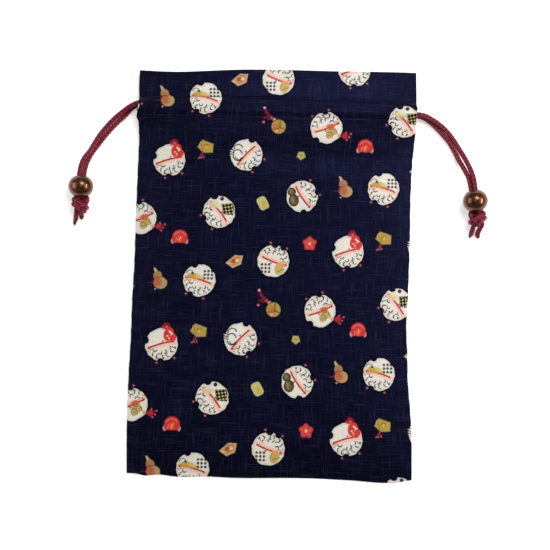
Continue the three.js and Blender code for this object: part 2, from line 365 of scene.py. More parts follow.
def yarn_height(turn, run):
    """How high the braid stands, from 0 in its deepest gaps to 1 on its highest yarns, at a
    turn round the cord and a run along it. Yarns of one hand climb with the turn and those
    of the other hand fall. Each rises and dips in a wave, over two of the others and under
    the next two, and its own section is half an ellipse; the higher of the two hands shows."""
    right = BRAID_COLUMNS * (turn + run / BRAID_PITCH)
    left = BRAID_COLUMNS * (turn - run / BRAID_PITCH)
    over = np.cos(np.pi / 2 * (left - 1 + np.floor(right)))
    under = np.cos(np.pi / 2 * (right - 1 - np.floor(left)) + np.pi)
    right_yarn = over * YARN_STEP / 2 + YARN_LOFT * np.sqrt(1 - (2 * (right % 1) - 1) ** 2)
    left_yarn = under * YARN_STEP / 2 + YARN_LOFT * np.sqrt(1 - (2 * (left % 1) - 1) ** 2)
    return (np.maximum(right_yarn, left_yarn) + YARN_STEP / 2) / (YARN_STEP + YARN_LOFT)


def carried_frames(line):
    """Two directions across the line at every point, carried along it without turning."""
    onward = np.gradient(line, axis=0)
    onward /= np.linalg.norm(onward, axis=1, keepdims=True)
    side = np.empty_like(line)
    side[0] = np.cross(onward[0], (0, 0, 1))
    for i in range(1, len(line)):
        side[i] = side[i - 1] - onward[i] * (side[i - 1] @ onward[i])
        side[i] /= np.linalg.norm(side[i])
    side[0] /= np.linalg.norm(side[0])
    return side, np.cross(onward, side)


def grid_faces(rows, columns, rows_meet=False, columns_meet=False):
    """The four-cornered faces of a grid of points. Its last row or its last column can meet
    the first again, so that the grid closes into a tube or a ring."""
    i, j = np.meshgrid(
        np.arange(rows if rows_meet else rows - 1),
        np.arange(columns if columns_meet else columns - 1),
        indexing="ij",
    )
    i2, j2 = (i + 1) % rows, (j + 1) % columns
    corners = [i * columns + j, i * columns + j2, i2 * columns + j2, i2 * columns + j]
    return np.stack(corners, -1).reshape(-1, 4)


def new_piece(name, points, faces, material):
    """A smooth-shaded mesh object, from points in millimetres."""
    mesh = bpy.data.meshes.new(name)
    mesh.from_pydata((points * MM).tolist(), [], faces)
    mesh.polygons.foreach_set("use_smooth", np.ones(len(mesh.polygons), bool))
    mesh.materials.append(material)
    piece = bpy.data.objects.new(name, mesh)
    bpy.context.scene.collection.objects.link(piece)
    return piece


def paint(piece, name, values):
    """Keeps one number for each point of the piece, for its material to read."""
    kept = piece.data.attributes.new(name, "FLOAT", "POINT")
    kept.data.foreach_set("value", values.ravel().astype(np.float32))


TIP_LENGTH = 1.1  # a tail's last stretch, over which it narrows
TIP_END = 0.06  # the share of its thickness that is left at the very end
TIP_TURN = 2.4  # where round the cord a slanting cut leaves the tail longest, in radians
SEALED_LENGTH = 1.6  # the darker end, where the yarns are sealed


def braid(name, line, slant):
    """A length of the braid: rings of points round the line, each pushed out by the height of
    the yarn there. A tail is cut on a slant and its yarns are drawn in to a sealed tip: the
    radius falls by a root over the last stretch, which is longer on one side than the other."""
    side, up = carried_frames(line)
    run = RING_SPACING * np.arange(len(line))[:, None]
    turn = (np.arange(RING_SIDES) / RING_SIDES)[None]
    height = yarn_height(turn, run)
    radius = CORD / 2 + (YARN_STEP + YARN_LOFT) * (height - YARN_MIDDLE)
    angle = 2 * np.pi * turn
    tip = np.ones_like(radius)
    if slant is not None:
        left = run[-1] - run - slant * (1 - np.cos(angle - TIP_TURN)) * CORD / 4
        tip = np.clip(left / TIP_LENGTH, 0, 1) ** 0.5
        radius = radius * (TIP_END + (1 - TIP_END) * tip)
    points = line[:, None] + radius[..., None] * (
        side[:, None] * np.cos(angle[..., None]) + up[:, None] * np.sin(angle[..., None])
    )
    rings, sides = len(line), RING_SIDES
    faces = grid_faces(rings, sides, columns_meet=True).tolist()
    faces += [list(range(sides))[::-1], list(range((rings - 1) * sides, rings * sides))]
    piece = new_piece(name, points.reshape(-1, 3), faces, burgundy_braid)
    end = np.ones_like(run) if slant is None else np.clip((run[-1] - run) / SEALED_LENGTH, 0, 1)
    paint(piece, "yarn_height", height)
    paint(piece, "whole", np.minimum(tip, np.repeat(end, sides, 1)))
    paint(piece, "run", np.repeat(run, sides, 1))
    paint(piece, "turn", np.repeat(turn, rings, 0))
    return piece


def mixed(tree, factor, first, second, blend="MIX"):
    """A Mix node for colours: each input is a socket or a constant."""
    node = tree.nodes.new("ShaderNodeMix")
    node.data_type = "RGBA"
    node.blend_type = blend
    for name, value in {"Factor": factor, "A": first, "B": second}.items():
        if isinstance(value, bpy.types.NodeSocket):
            tree.links.new(value, node.inputs[name])
        else:
            node.inputs[name].default_value = value
    return node.outputs["Result"]


def linked(tree, kind, socket, value, settings=None):
    """A new node whose named input comes from the given socket."""
    node = tree.nodes.new(kind)
    tree.links.new(value, node.inputs[socket])
    set_inputs(node, settings or {})
    return node


def attribute(tree, name):
    """The socket with a number that was painted on the piece."""
    node = tree.nodes.new("ShaderNodeAttribute")
    node.attribute_name = name
    return node.outputs["Fac"]


def ranged(tree, value, low, high):
    """The value's place between low and high, from 0 to 1."""
    bounds = {"From Min": low, "From Max": high}
    return linked(tree, "ShaderNodeMapRange", "Value", value, bounds).outputs["Result"]


burgundy_braid, tree, shader = new_material("burgundy_braid", {
    "Roughness": 0.62,
    "Specular IOR Level": 0.25,
    "Sheen Weight": 0.1,
    "Sheen Roughness": 0.4,
    "Sheen Tint": (1.0, 0.55, 0.65, 1),
})
on_cord = linked(tree, "ShaderNodeCombineXYZ", "X", attribute(tree, "run"))
tree.links.new(attribute(tree, "turn"), on_cord.inputs["Y"])
fibres = linked(tree, "ShaderNodeTexNoise", "Vector", on_cord.outputs[0], {"Scale": 3.0, "Detail": 3.0})
yarn = mixed(
    tree, ranged(tree, fibres.outputs["Fac"], 0.3, 0.7), (0.150, 0.0045, 0.018, 1), (0.250, 0.0110, 0.038, 1)
)
# Painted highlight: the highest points of the yarns are painted a paler pink, standing in for the sheen of
# light on them.
painted_crest_highlight = ranged(tree, attribute(tree, "yarn_height"), 0.86, 0.99)
yarn = mixed(tree, painted_crest_highlight, yarn, (0.38, 0.050, 0.090, 1))
# Painted shade: the deep gaps between the yarns are painted near black, standing in for the shade that falls
# in them.
out_of_painted_crevice_shade = ranged(tree, attribute(tree, "yarn_height"), 0.45, 0.90)
yarn = mixed(tree, out_of_painted_crevice_shade, (0.036, 0.0012, 0.0050, 1), yarn)
unsealed = ranged(tree, attribute(tree, "whole"), 0.55, 1.0)
tree.links.new(mixed(tree, unsealed, (0.012, 0.004, 0.006, 1), yarn), shader.inputs["Base Color"])
fuzz = {"Distance": 0.12 * MM, "Strength": 0.6}
lift = linked(tree, "ShaderNodeBump", "Height", fibres.outputs["Fac"], fuzz)
tree.links.new(lift.outputs[0], shader.inputs["Normal"])

# How far back each tail's slanting cut reaches, in radii of the cord.
TAIL_CUTS = {
    "left_cord_front_strand": 2.6,
    "left_cord_back_strand": 0.6,
    "right_cord_front_strand": 0.5,
    "right_cord_back_strand": 1.0,
}

free_strands = {}
for hand, side in SIDES.items():
    route, first, last = whole_cord(side)
    spans = {
        f"{hand}_cord_front_strand": route[:first + 1][::-1],
        f"{hand}_cord_in_casings": route[first:last + 1],
        f"{hand}_cord_back_strand": route[last:],
    }
    for name, span in spans.items():
        piece = braid(name, span, TAIL_CUTS.get(name))
        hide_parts(f"{hand}_drawcord")
        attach(piece, "pouch")
    free_strands[hand] = [(name, span) for name, span in spans.items() if name in TAIL_CUTS]

# ---- Beads --------------------------------------------------------------------------------
# Each bead is moulded plastic with a dark bronze metallic coat under clear lacquer, a little
# flattened along its hole, which both strands of a drawcord are threaded through.

BEAD_RADIUS, BEAD_POLE, BEAD_BORE = 8.0, 7.46, 3.4
BEAD_LIP = 0.55  # how far the rounded lip reaches down the hole
LIP_WIDTH, LIP_RISE = 0.45, 0.16
BEAD_SIDES = 96
BEAD_HEIGHT = 8.0  # its middle over the table


def bead_profile():
    """One loop in radius and height: an ellipse, a lip that curves over into the hole, the
    straight hole, and the same lip again."""
    reach = np.arccos((BEAD_BORE + LIP_WIDTH) / BEAD_RADIUS)
    arc = np.linspace(-reach, reach, 57)
    outer = np.stack([BEAD_RADIUS * np.cos(arc), BEAD_POLE * np.sin(arc)], 1)
    corner = np.array([BEAD_BORE, outer[-1, 1] + LIP_RISE])
    foot = np.array([BEAD_BORE, outer[-1, 1] - BEAD_LIP])
    t = np.linspace(0, 1, 9)[1:, None]
    lip = outer[-1] * (1 - t) ** 2 + corner * 2 * t * (1 - t) + foot * t**2
    hole = np.stack([np.full(9, BEAD_BORE), np.linspace(foot[1], -foot[1], 11)[1:-1]], 1)
    return np.concatenate([outer, lip, hole, (lip * [1, -1])[::-1]])


def bead_mesh(name, middle, axis):
    """The profile turned round the bead's own axis, closed both ways."""
    profile = bead_profile()
    spin = 2 * np.pi * np.arange(BEAD_SIDES) / BEAD_SIDES
    across = np.array([axis[1], -axis[0], 0])
    upward = np.array([0, 0, 1])
    r, a = profile[:, 0][:, None, None], profile[:, 1][:, None, None]
    round_axis = across * np.cos(spin)[None, :, None] + upward * np.sin(spin)[None, :, None]
    points = np.array(middle) + r * round_axis + a * axis
    faces = grid_faces(len(profile), BEAD_SIDES, rows_meet=True, columns_meet=True)[:, [0, 3, 2, 1]]
    return new_piece(name, points.reshape(-1, 3), faces.tolist(), bronze_coat)


bronze_coat, tree, shader = new_material("bronze_coat", {
    "Metallic": 0.85, "Coat Weight": 0.4, "Coat Roughness": 0.05,
})
where = tree.nodes.new("ShaderNodeTexCoord")
clouds = linked(
    tree, "ShaderNodeTexNoise", "Vector", where.outputs["Object"], {"Scale": 420.0, "Detail": 3.0}
).outputs["Fac"]
cloudy = ranged(tree, clouds, 0.35, 0.65)
coat_colour = mixed(tree, cloudy, (0.088, 0.028, 0.012, 1), (0.165, 0.062, 0.028, 1))
tree.links.new(coat_colour, shader.inputs["Base Color"])
tree.links.new(ranged(tree, clouds, -0.6, 3.0), shader.inputs["Roughness"])

# From the slit to the tip of the tail, in metres, for the front strand and the back one.
FREE_LENGTHS = {"left": (0.135, 0.131), "right": (0.138, 0.136)}

for hand, side in SIDES.items():
    bead = bead_mesh(f"{hand}_bronze_bead", (*side["bead"], BEAD_HEIGHT), bead_direction(side))
    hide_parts(f"{hand}_bead")
    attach(bead, f"{hand}_bead")
    for (name, span), length in zip(free_strands[hand], FREE_LENGTHS[hand]):
        tuple(span[0] * MM)
        (span[::4] * MM).tolist()

# ---- Panels -------------------------------------------------------------------------------
# Front and back are one cut of slub cotton each. The seam allowances are pressed to the
# wrong side, and the top is turned in and stitched down along two lines, which leaves a
# casing between them for the cords.

CLOTH = 0.4  # thickness
SEAM_LOW, SEAM_HIGH = 99.7, 111.5  # the casing's two stitched lines
CASING_MIDDLE, CASING_HALF = (SEAM_LOW + SEAM_HIGH) / 2, (SEAM_HIGH - SEAM_LOW) / 2
SLIT_LOW, SLIT_HIGH = 99.0, 112.5  # where the side seams are left open for the cords
HEM_END = 97.5  # where the turned-in layer ends, inside
HEM_INSET, HEM_IN_SLIT = 0.25, 2.6  # how far in its sides lie, and how much more in the slits
BACK_INSET = 0.5  # how much narrower the back is on each side
BOTTOM, MOUTH = -131.9, 131.0
BOTTOM_FOLD, MOUTH_FOLD, SIDE_FOLD = 0.35, 0.7, 0.23  # radii of the pressed edges
SIDE_ALLOWANCE, BOTTOM_ALLOWANCE = 8.0, 9.0
PUCKER = 11.7  # from one band of puckered cloth to the next, along a side seam
RAGGED_TO = 96  # up and down from the middle, the side seams are a little ragged this far

# The pouch's outline: y, and how far the edge lies out from the middle on either side.
LEFT_EDGE = [
    (-133, 91.8), (-120, 92.1), (-108, 92.3), (-81, 92.1), (-63, 91.8), (-45, 91.1),
    (-18, 90.7), (7, 89.8), (27, 89.6), (48, 89.3), (70, 88.9), (93, 88.6), (96, 88.9),
    (98.5, 89.9), (101.5, 89.3), (104.5, 88.6), (109.6, 88.3), (116, 88.7), (133, 88.8),
]
RIGHT_EDGE = [
    (-133, 91.9), (-120, 91.6), (-108, 91.3), (-86, 89.8), (-68, 87.9), (-49, 87.2),
    (-38, 86.4), (-8, 86.9), (28, 87.3), (49, 87.1), (76, 87.9), (91, 88.9), (104, 88.9),
    (112, 88.9), (120, 88.9), (133, 88.8),
]
# How far the mouth and the bottom edge stray from straight: x, and the shift in y. Rows more
# than EDGE_FROM from the pouch's middle follow them, more and more over the next EDGE_OVER.
EDGE_FROM, EDGE_OVER = 60, 71
MOUTH_EDGE = [
    (-89, -2.2), (-78, -3.1), (-63, -3.6), (-45, -2.9), (-25, -1.9), (-8, -1.5), (11, -1.4),
    (40, -1.3), (60, -0.9), (89, 0.0),
]
BOTTOM_EDGE = [
    (-92, 1.1), (-86, 0.9), (-81, -0.2), (-72, 0.6), (-61, -0.5), (-40, 0.0), (-26, -0.4),
    (13, 0.1), (28, 0.1), (53, -0.6), (82, -1.2), (92, 0.6),
]
# The front's height at the side seams, and how much higher its middle is.
SIDE_HEIGHT = [
    (-132, 1.8), (-124, 2.05), (20, 2.05), (60, 2.05), (78, 2.6), (90, 5.5), (96, 7.6), (99.7, 9.0),
    (105.6, 9.3), (111.5, 9.0), (120, 6.4), (131, 3.9),
]
CROWN_HEIGHT = [
    (-132, 0), (-118, 3.4), (-95, 5.2), (-40, 6.2), (20, 7.8), (75, 10.0), (90, 8.9), (99.7, 5.9),
    (105.6, 5.4), (111.5, 5.9), (120, 7.6), (131, 9.6),
]


def through(points, want):
    """A cubic curve through the points, with each slope from the two neighbours."""
    at, value = np.array(points, float).T
    slope = np.gradient(value, at)
    want = np.clip(want, at[0], at[-1])
    i = np.clip(np.searchsorted(at, want, side="right") - 1, 0, len(at) - 2)
    step = at[i + 1] - at[i]
    return eased_between(value, slope, i, step, (want - at[i]) / step)


def half_width(x, y):
    """How far out the pouch's edge lies on the side that x is on."""
    return np.where(x < 0, through(LEFT_EDGE, y), through(RIGHT_EDGE, y))


def ripple(at, length, start=0.0):
    """A sine wave of that length, at a distance along it."""
    return np.sin(2 * np.pi * at / length + start)


def wave(x, y, lengths, seed):
    """The mean of three crossing waves of unlike lengths and directions: a smooth, uneven
    surface between -1 and 1."""
    out = 0
    for n, length in enumerate(lengths):
        turn = seed * 1.7 + n * 2.1
        onward = x * np.cos(turn) + y * np.sin(turn)
        out = out + ripple(onward, length, seed + 3.3 * n)
    return out / len(lengths)


def puckers(x, y):
    """Short bands that the side seams pull across the cloth, coarse ones 0.34 mm high and
    fine ones 0.10. They die away over 11 and 4 mm from the seam, and over 14 and 20 mm
    towards the casing and the bottom, and their spacing drifts along the seam."""
    hand = np.sign(x) + (x == 0)
    reach = half_width(x, y) - np.abs(x)
    coarse = ripple(y, PUCKER, 1.5 * ripple(y, 41, hand) + 2 * hand)
    swell = 0.6 + 0.4 * ripple(y, 67, 2.2 * hand)
    fine = ripple(y, 6.3, 1.2 * ripple(y, 23, -hand) + hand)
    inside = np.clip((SEAM_LOW - 6 - y) / 14, 0, 1) * np.clip((y - BOTTOM) / 20, 0, 1)
    return (0.34 * coarse * swell * np.exp(-reach / 11) + 0.10 * fine * np.exp(-reach / 4)) * inside


def gathers(x, y):
    """Small upright ripples that the two stitched lines draw into the cloth, 0.16 and
    0.13 mm high. They die away over 6 and 5 mm from their line, and their spacing drifts."""
    low = ripple(x, 9.3, 1.8 * ripple(x, 37) + 0.6) * (0.6 + 0.4 * ripple(x, 71, 1))
    high = ripple(x + 4, 12.1, 1.1 * ripple(x, 53, 2))
    near_low = np.exp(-np.abs(y - SEAM_LOW) / 6)
    near_high = np.exp(-np.abs(y - SEAM_HIGH) / 5)
    return 0.16 * low * near_low + 0.13 * high * near_high


ARCH_EASED = 0.62  # the share of the casing's half width over which its section comes down


def arch(y):
    """The casing's section, 1 along its flat top and eased down to each stitched line."""
    s = np.clip((1 - np.abs((y - CASING_MIDDLE) / CASING_HALF)) / ARCH_EASED, 0, 1)
    return s * s * (3 - 2 * s)


def front_swell(t):
    """How far the front casing stands over its seams: more at the slits than midway."""
    return 0.9 + 1.75 * np.abs(t) ** 6


CREASE_WIDTH = 0.7
CROWN_POWER = 3  # the front falls away from its middle by this power of the distance


def bump(at, middle, spread):
    """A bell-shaped rise from 0 to 1 and back, round a middle."""
    return np.exp(-(((at - middle) / spread) ** 2))


def front_height(x, y):
    """The front's outer face: its height at the side seams, plus the crown, plus the casing,
    less a narrow furrow along each stitched line, plus puckers, gathers and broad waves,
    which are calmer over the casing."""
    t = np.clip(x / half_width(x, y), -1, 1)
    crown = 1 - np.abs(t) ** CROWN_POWER
    z = through(SIDE_HEIGHT, y) + through(CROWN_HEIGHT, y) * crown + arch(y) * front_swell(t)
    low_depth = 0.10 + 0.30 * bump(x, 35, 32)
    high_depth = 0.14 + 0.26 * bump(x, -15, 14)
    z = z - low_depth * bump(y, SEAM_LOW, CREASE_WIDTH) - high_depth * bump(y, SEAM_HIGH, CREASE_WIDTH)
    broad = wave(x, y, (150, 95, 210), 0.4) * 0.9 + wave(x, y, (41, 57, 33), 2.0) * 0.22
    calm = 1 - 0.8 * bump(y, CASING_MIDDLE, 9)
    return z + puckers(x, y) + gathers(x, y) + broad * crown * calm


def back_height(x, y):
    """The back's outer face lies flat on the table."""
    return CLOTH / 2 + 0.02 + 0 * x


def front_casing(t):
    """How deep the front casing is inside."""
    return 3.4 + 1.9 * np.abs(t) ** 6


def back_casing(t):
    """The back casing stands on the table, as deep as its cords and a little more."""
    return 4.6 + 0 * t


def hem_depth(x, y, casing):
    """How far the turned-in layer lies from the outer face: the fold's width at the mouth,
    one cloth at each stitched line, and the whole casing between them."""
    t = np.clip(x / half_width(x, y), -1, 1)
    pressed = CLOTH + 0.05
    heading = (2 * MOUTH_FOLD - pressed) * np.clip((y - SEAM_HIGH) / 4, 0, 1) ** 0.5
    loose_end = 0.3 * np.clip((SEAM_LOW - y) / 2, 0, 1)
    return pressed + heading + loose_end + arch(y) * casing(t)


ALLOWANCE_ROWS, HEM_ROWS = 6, 44  # in the bottom seam's allowance, and in the turned-in top
ROW_LEAST, ROW_MOST = 0.42, 1.45  # between two rows, at a stitched line and far from any edge


def stations():
    """The cloth's path up the panel, a row at a time: y, how deep the row lies under the
    outer face, the angle that the cloth has turned through, whether it is in the hem, and
    the distance along the cloth. Rows are closest at the stitched lines and at both ends."""
    low, high = BOTTOM + BOTTOM_FOLD, MOUTH - MOUTH_FOLD
    inside = np.linspace(low + BOTTOM_ALLOWANCE, low, ALLOWANCE_ROWS + 1)[:-1]
    turn = np.linspace(-np.pi, 0, ALLOWANCE_ROWS + 1)[:-1]
    steps = [low]
    while steps[-1] < high - CLOTH:
        near = min(abs(steps[-1] - SEAM_LOW), abs(steps[-1] - SEAM_HIGH))
        edge = min(steps[-1] - low, high - steps[-1])
        steps.append(steps[-1] + min(ROW_MOST, ROW_LEAST + 0.12 * max(near - 1.6, 0), 0.5 + 0.2 * edge))
    face = np.array(steps) - low
    face = low + face * (high - low) / face[-1]
    over = np.linspace(0, np.pi, 9)[1:-1]
    parts = (  # y, depth, angle
        (inside, np.full(ALLOWANCE_ROWS, 2 * BOTTOM_FOLD), np.full(ALLOWANCE_ROWS, -np.pi)),
        (low + BOTTOM_FOLD * np.sin(turn), BOTTOM_FOLD * (1 - np.cos(turn)), turn),
        (face, 0 * face, 0 * face),
        (high + MOUTH_FOLD * np.sin(over), MOUTH_FOLD * (1 - np.cos(over)), over),
        (np.linspace(high, HEM_END, HEM_ROWS), np.full(HEM_ROWS, 2 * MOUTH_FOLD), np.full(HEM_ROWS, np.pi)),
    )
    y, depth, angle = (np.concatenate(column) for column in zip(*parts))
    hem = np.arange(len(y)) >= len(y) - HEM_ROWS
    run = np.concatenate([[0], np.cumsum(np.hypot(np.diff(y), np.diff(depth)))])
    return y, depth, angle, hem, run - run[2 * ALLOWANCE_ROWS] + low


COLUMNS = 117
CLOSER_AT_SIDES = 0.93  # 0 spaces the columns evenly, and 1 most closely at the sides


def across():
    """The cloth's path across the panel, a column at a time: the share of the half width,
    and the distance folded past the edge."""
    quarter = np.pi / 2 * CLOSER_AT_SIDES
    face = np.sin(np.linspace(-1, 1, COLUMNS) * quarter) / np.sin(quarter)
    folded = np.array([0.12, 0.25, 0.38, 0.5, 0.62, 0.75, 1.6, 3.2, 5.4, SIDE_ALLOWANCE])
    share = np.concatenate([-np.ones(len(folded)), face, np.ones(len(folded))])
    past = np.concatenate([folded[::-1], 0 * face, folded])
    return share, past


def edge_follow(y, rough_x):
    """How far a row shifts to follow the mouth or the bottom edge: the edge's own shift,
    times the square of how far the row lies on the way there."""
    top = np.clip((y - EDGE_FROM) / EDGE_OVER, 0, 1) ** 2
    bottom = np.clip((-EDGE_FROM - y) / EDGE_OVER, 0, 1) ** 2
    return top * through(MOUTH_EDGE, rough_x) + bottom * through(BOTTOM_EDGE, rough_x)


# Where the print lies on the cloth. Cloth that is raised looks a little larger from above, so
# the print is drawn in there, and its motifs stay in line with the rest.
PRINT_LEVEL = 8.0  # the height of cloth at which the print keeps its own scale
PRINT_VIEW = 835.0  # how far above that level the drawing in is worked out from
PRINT_MIDDLE, PRINT_HALF = 0.45, 89.6  # the front's middle and half width on the flat print
PRINT_UNEVEN = 0.000145  # times y squared: drawn in towards the mouth and out towards the bottom
BACK_SHIFT = 31  # the back's print is the front's, turned over left to right and shifted


def flat_print(shown, y, y_row, t, past, run, face_rows, upward):
    """Each point's place on the flat print. Across, it is the share of the half width times
    that width, plus the distance folded past the edge. Along, it is the height up the face,
    carried on past its first and last rows by the distance along the cloth."""
    drawn_in = PRINT_VIEW / (PRINT_VIEW + PRINT_LEVEL - shown)
    nearest = np.clip(np.arange(len(run)), face_rows[0], face_rows[-1])
    along = run[:, None] + (y * drawn_in)[nearest] - y_row[nearest, None]
    across = PRINT_MIDDLE + PRINT_HALF * t * drawn_in[nearest] + past
    if upward < 0:
        across = BACK_SHIFT - across
    return np.stack([across, along + PRINT_UNEVEN * along**2], -1)


def panel(name, upward, height, casing):
    """A panel from its rows and columns. A column past the edge goes round the side fold
    and back in under the face. Flat coordinates, in millimetres along the cloth, go on
    unbroken round every fold, so the print does too."""
    y, depth, angle, hem, run = stations()
    share, past = across()
    Y = np.repeat(y[:, None], len(share), 1)
    T = np.repeat(share[None], len(y), 0)
    Y = Y + edge_follow(Y, T * half_width(T, Y))
    in_hem = hem[:, None]
    ragged = 0.08 * ripple(Y, PUCKER, 2.4 * np.sign(T)) + 0.05 * ripple(Y, 5.1, T)
    slit = np.clip((Y - SLIT_LOW) / 2, 0, 1) * np.clip((SLIT_HIGH - Y) / 2, 0, 1)
    width = half_width(T, Y) - (BACK_INSET if upward < 0 else 0) + ragged * (np.abs(Y) < RAGGED_TO)
    width = width - (HEM_IN_SLIT * slit + HEM_INSET) * in_hem
    # Towards the bottom corners the allowance and the fold are drawn in, so that they lie flat.
    corner = np.clip((y - BOTTOM) / 12, 0, 1)[:, None]
    fold = SIDE_FOLD * (0.6 + 0.4 * corner)
    P = past[None] * np.where(past[None] > 0.8, 0.15 + 0.85 * corner, 1.0)
    turn = np.clip(P / (np.pi * fold), 0, 1) * np.pi
    inward = np.clip(P - np.pi * fold, 0, None)
    X = np.sign(T) * (np.abs(T) * (width - fold) + fold * np.sin(turn) - inward)
    under = fold * (1 - np.cos(turn))
    shown = height(X, np.clip(Y, BOTTOM, MOUTH))
    D = np.where(in_hem, hem_depth(X, Y, casing), depth[:, None])
    Z = shown - upward * (D + under * np.cos(angle[:, None]))
    points = np.stack([X, Y - under * np.sin(angle[:, None]), Z], -1)
    faces = grid_faces(*Y.shape)
    if upward < 0:
        faces = faces[:, ::-1]
    piece = new_piece(f"{name}_cloth", points.reshape(-1, 3), faces.tolist(), printed_cotton)
    piece.data.materials.append(plain_cotton)
    flat = flat_print(shown, Y, y, T, np.sign(T) * P, run, np.flatnonzero(angle == 0), upward)
    uv = piece.data.uv_layers.new(name="flat")
    corner_points = np.empty(len(piece.data.loops), np.int32)
    piece.data.loops.foreach_get("vertex_index", corner_points)
    uv.data.foreach_set("uv", flat.reshape(-1, 2)[corner_points].astype(np.float32).ravel())
    wall = piece.modifiers.new("thickness", "SOLIDIFY")
    wall.thickness = CLOTH * MM
    wall.offset = 0
    wall.material_offset = 1
    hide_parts(name)
    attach(piece, "pouch")
    return piece


# The print is worked out on the flat cloth, in millimetres. It repeats on a slanted grid,
# and each step of the grid holds seven cream roundels and eight small gold and red sprigs.


class Field:
    """A number at every point of the cloth. Arithmetic on it adds Math nodes."""

    def __init__(self, tree, socket):
        self.tree, self.socket = tree, socket

    def math(self, operation, *values, clamp=False):
        node = self.tree.nodes.new("ShaderNodeMath")
        node.operation = operation
        node.use_clamp = clamp
        for slot, value in zip(node.inputs, (self, *values)):
            if isinstance(value, Field):
                self.tree.links.new(value.socket, slot)
            else:
                slot.default_value = value
        return Field(self.tree, node.outputs[0])

    def __add__(self, other):
        return self.math("ADD", other)

    def __sub__(self, other):
        return self.math("SUBTRACT", other)

    def __mul__(self, other):
        return self.math("MULTIPLY", other)

    def __abs__(self):
        return self.math("ABSOLUTE")


def both(a, b):
    """Inside both shapes: the greater of two distances to an edge."""
    return a.math("MAXIMUM", b)


def either(a, b):
    """Inside either shape: the lesser of two distances."""
    return a.math("MINIMUM", b)


def without(a, b):
    """Inside the first shape and outside the second."""
    return a.math("MAXIMUM", b * -1)


class Spot:
    """A place on the cloth seen from a motif's own middle and turn, in millimetres."""

    def __init__(self, x, y):
        self.x, self.y = x, y

    def seen_from(self, x, y, turn=0.0):
        """The same place from another middle, turned by so many degrees."""
        c, s = np.cos(np.radians(turn)), np.sin(np.radians(turn))
        dx, dy = self.x - x, self.y - y
        return Spot(dx * c + dy * s, dy * c - dx * s) if turn else Spot(dx, dy)

    def distance(self):
        """The root of the sum of the squares."""
        return (self.x * self.x).math("MULTIPLY_ADD", 1.0, self.y * self.y).math("SQRT")


def disc(spot, x, y, r):
    """A round dot: the distance from its middle, less its radius."""
    return spot.seen_from(x, y).distance() - r


def oval(spot, x, y, rx, ry, turn=0.0):
    """An oval: the distance from the middle in units of its two radii, less one."""
    at = spot.seen_from(x, y, turn)
    return (Spot(at.x * (1 / rx), at.y * (1 / ry)).distance() - 1) * min(rx, ry)


def stroke(spot, x0, y0, x1, y1, width):
    """A round-ended line: the distance from the nearest place on it, less half its width."""
    length = float(np.hypot(x1 - x0, y1 - y0))
    at = spot.seen_from(x0, y0, float(np.degrees(np.arctan2(y1 - y0, x1 - x0))))
    past = at.x - at.x.math("MINIMUM", length).math("MAXIMUM", 0.0)
    return Spot(past, at.y).distance() - width / 2


def ring(spot, x, y, r, width):
    """A thin circle: how far the distance from its middle is from its radius."""
    return abs(spot.seen_from(x, y).distance() - r) - width / 2


def polygon(spot, x, y, r, sides, turn=0.0):
    """A regular polygon: the greatest of its distances past each side's line."""
    out = None
    for k in range(sides):
        angle = np.radians(turn + 360 * k / sides)
        edge = (spot.x - x) * float(np.cos(angle)) + (spot.y - y) * float(np.sin(angle)) - r
        out = edge if out is None else both(out, edge)
    return out


PRINT_STRENGTH = 0.92  # the share of a colour's light that the print on this cloth sends back


def dye(r, g, b):
    """A colour given as it looks in daylight, as the amounts of light it sends back."""
    c = np.array([r, g, b]) / 255
    return (*np.where(c <= 0.04045, c / 12.92, ((c + 0.055) / 1.055) ** 2.4) * PRINT_STRENGTH, 1.0)


class Cloth:
    """The cloth's colour while it is printed on."""

    def __init__(self, tree, ground):
        self.tree, self.colour = tree, ground

    def print(self, shape, colour, strength=1.0, soft=0.22):
        """Lays a colour over the inside of a shape, with its edge spread over the threads."""
        ink = shape.math("MULTIPLY_ADD", -0.5 / soft, 0.5, clamp=True)
        if strength != 1:
            ink = ink * strength
        self.colour = mixed(self.tree, ink.socket, self.colour, colour)


GRID = np.array([(-0.66, -118.58), (117.83, -57.05)])  # the print's two repeats
ROUNDEL = 10.2  # radius
# Each roundel's middle, its turn, and the angle of its second bite, in degrees.
ROUNDELS = {
    "leaf": (-46.2, 113.2, -14, 122),
    "gold": (0.9, 126.5, 161, -75),
    "gourd": (18.1, 50.0, 125, 152),
    "tassel": (32.5, 95.2, 202, 31),
    "check": (-35.5, 38.9, -50, 157),
    "flower": (-68.6, 71.9, 16, 151),
    "swirl": (-18.8, 76.4, 48, 24),
}

CREAM, ROSE, PINK = dye(234, 233, 222), dye(242, 200, 182), dye(232, 160, 166)
RED, DEEP_RED, CORAL, WINE = dye(184, 50, 38), dye(120, 22, 38), dye(218, 64, 54), dye(148, 32, 46)
GOLD, OLIVE, TAN, SAGE = dye(206, 180, 100), dye(176, 160, 78), dye(184, 154, 106), dye(44, 54, 46)
BLACK, HALO = dye(16, 16, 18), dye(3, 3, 8)


def facets(spot, *corners):
    """A flat-sided shape with its corners given clockwise: the greatest of the distances
    past each side's line."""
    out = None
    for (x0, y0), (x1, y1) in zip(corners, corners[1:] + corners[:1]):
        length = float(np.hypot(x1 - x0, y1 - y0))
        nx, ny = (y0 - y1) / length, (x1 - x0) / length
        edge = spot.x * nx + spot.y * ny - (nx * x0 + ny * y0)
        out = edge if out is None else both(out, edge)
    return out


def above(spot, x, y, turn=0.0):
    """Everything above a line through that place, turned by so many degrees."""
    return spot.seen_from(x, y, turn).y * -1


def arc(spot, x, y, r, width, turn):
    """Half a thin circle, the upper half where the turn is 0."""
    return both(ring(spot, x, y, r, width), above(spot, x, y, turn))


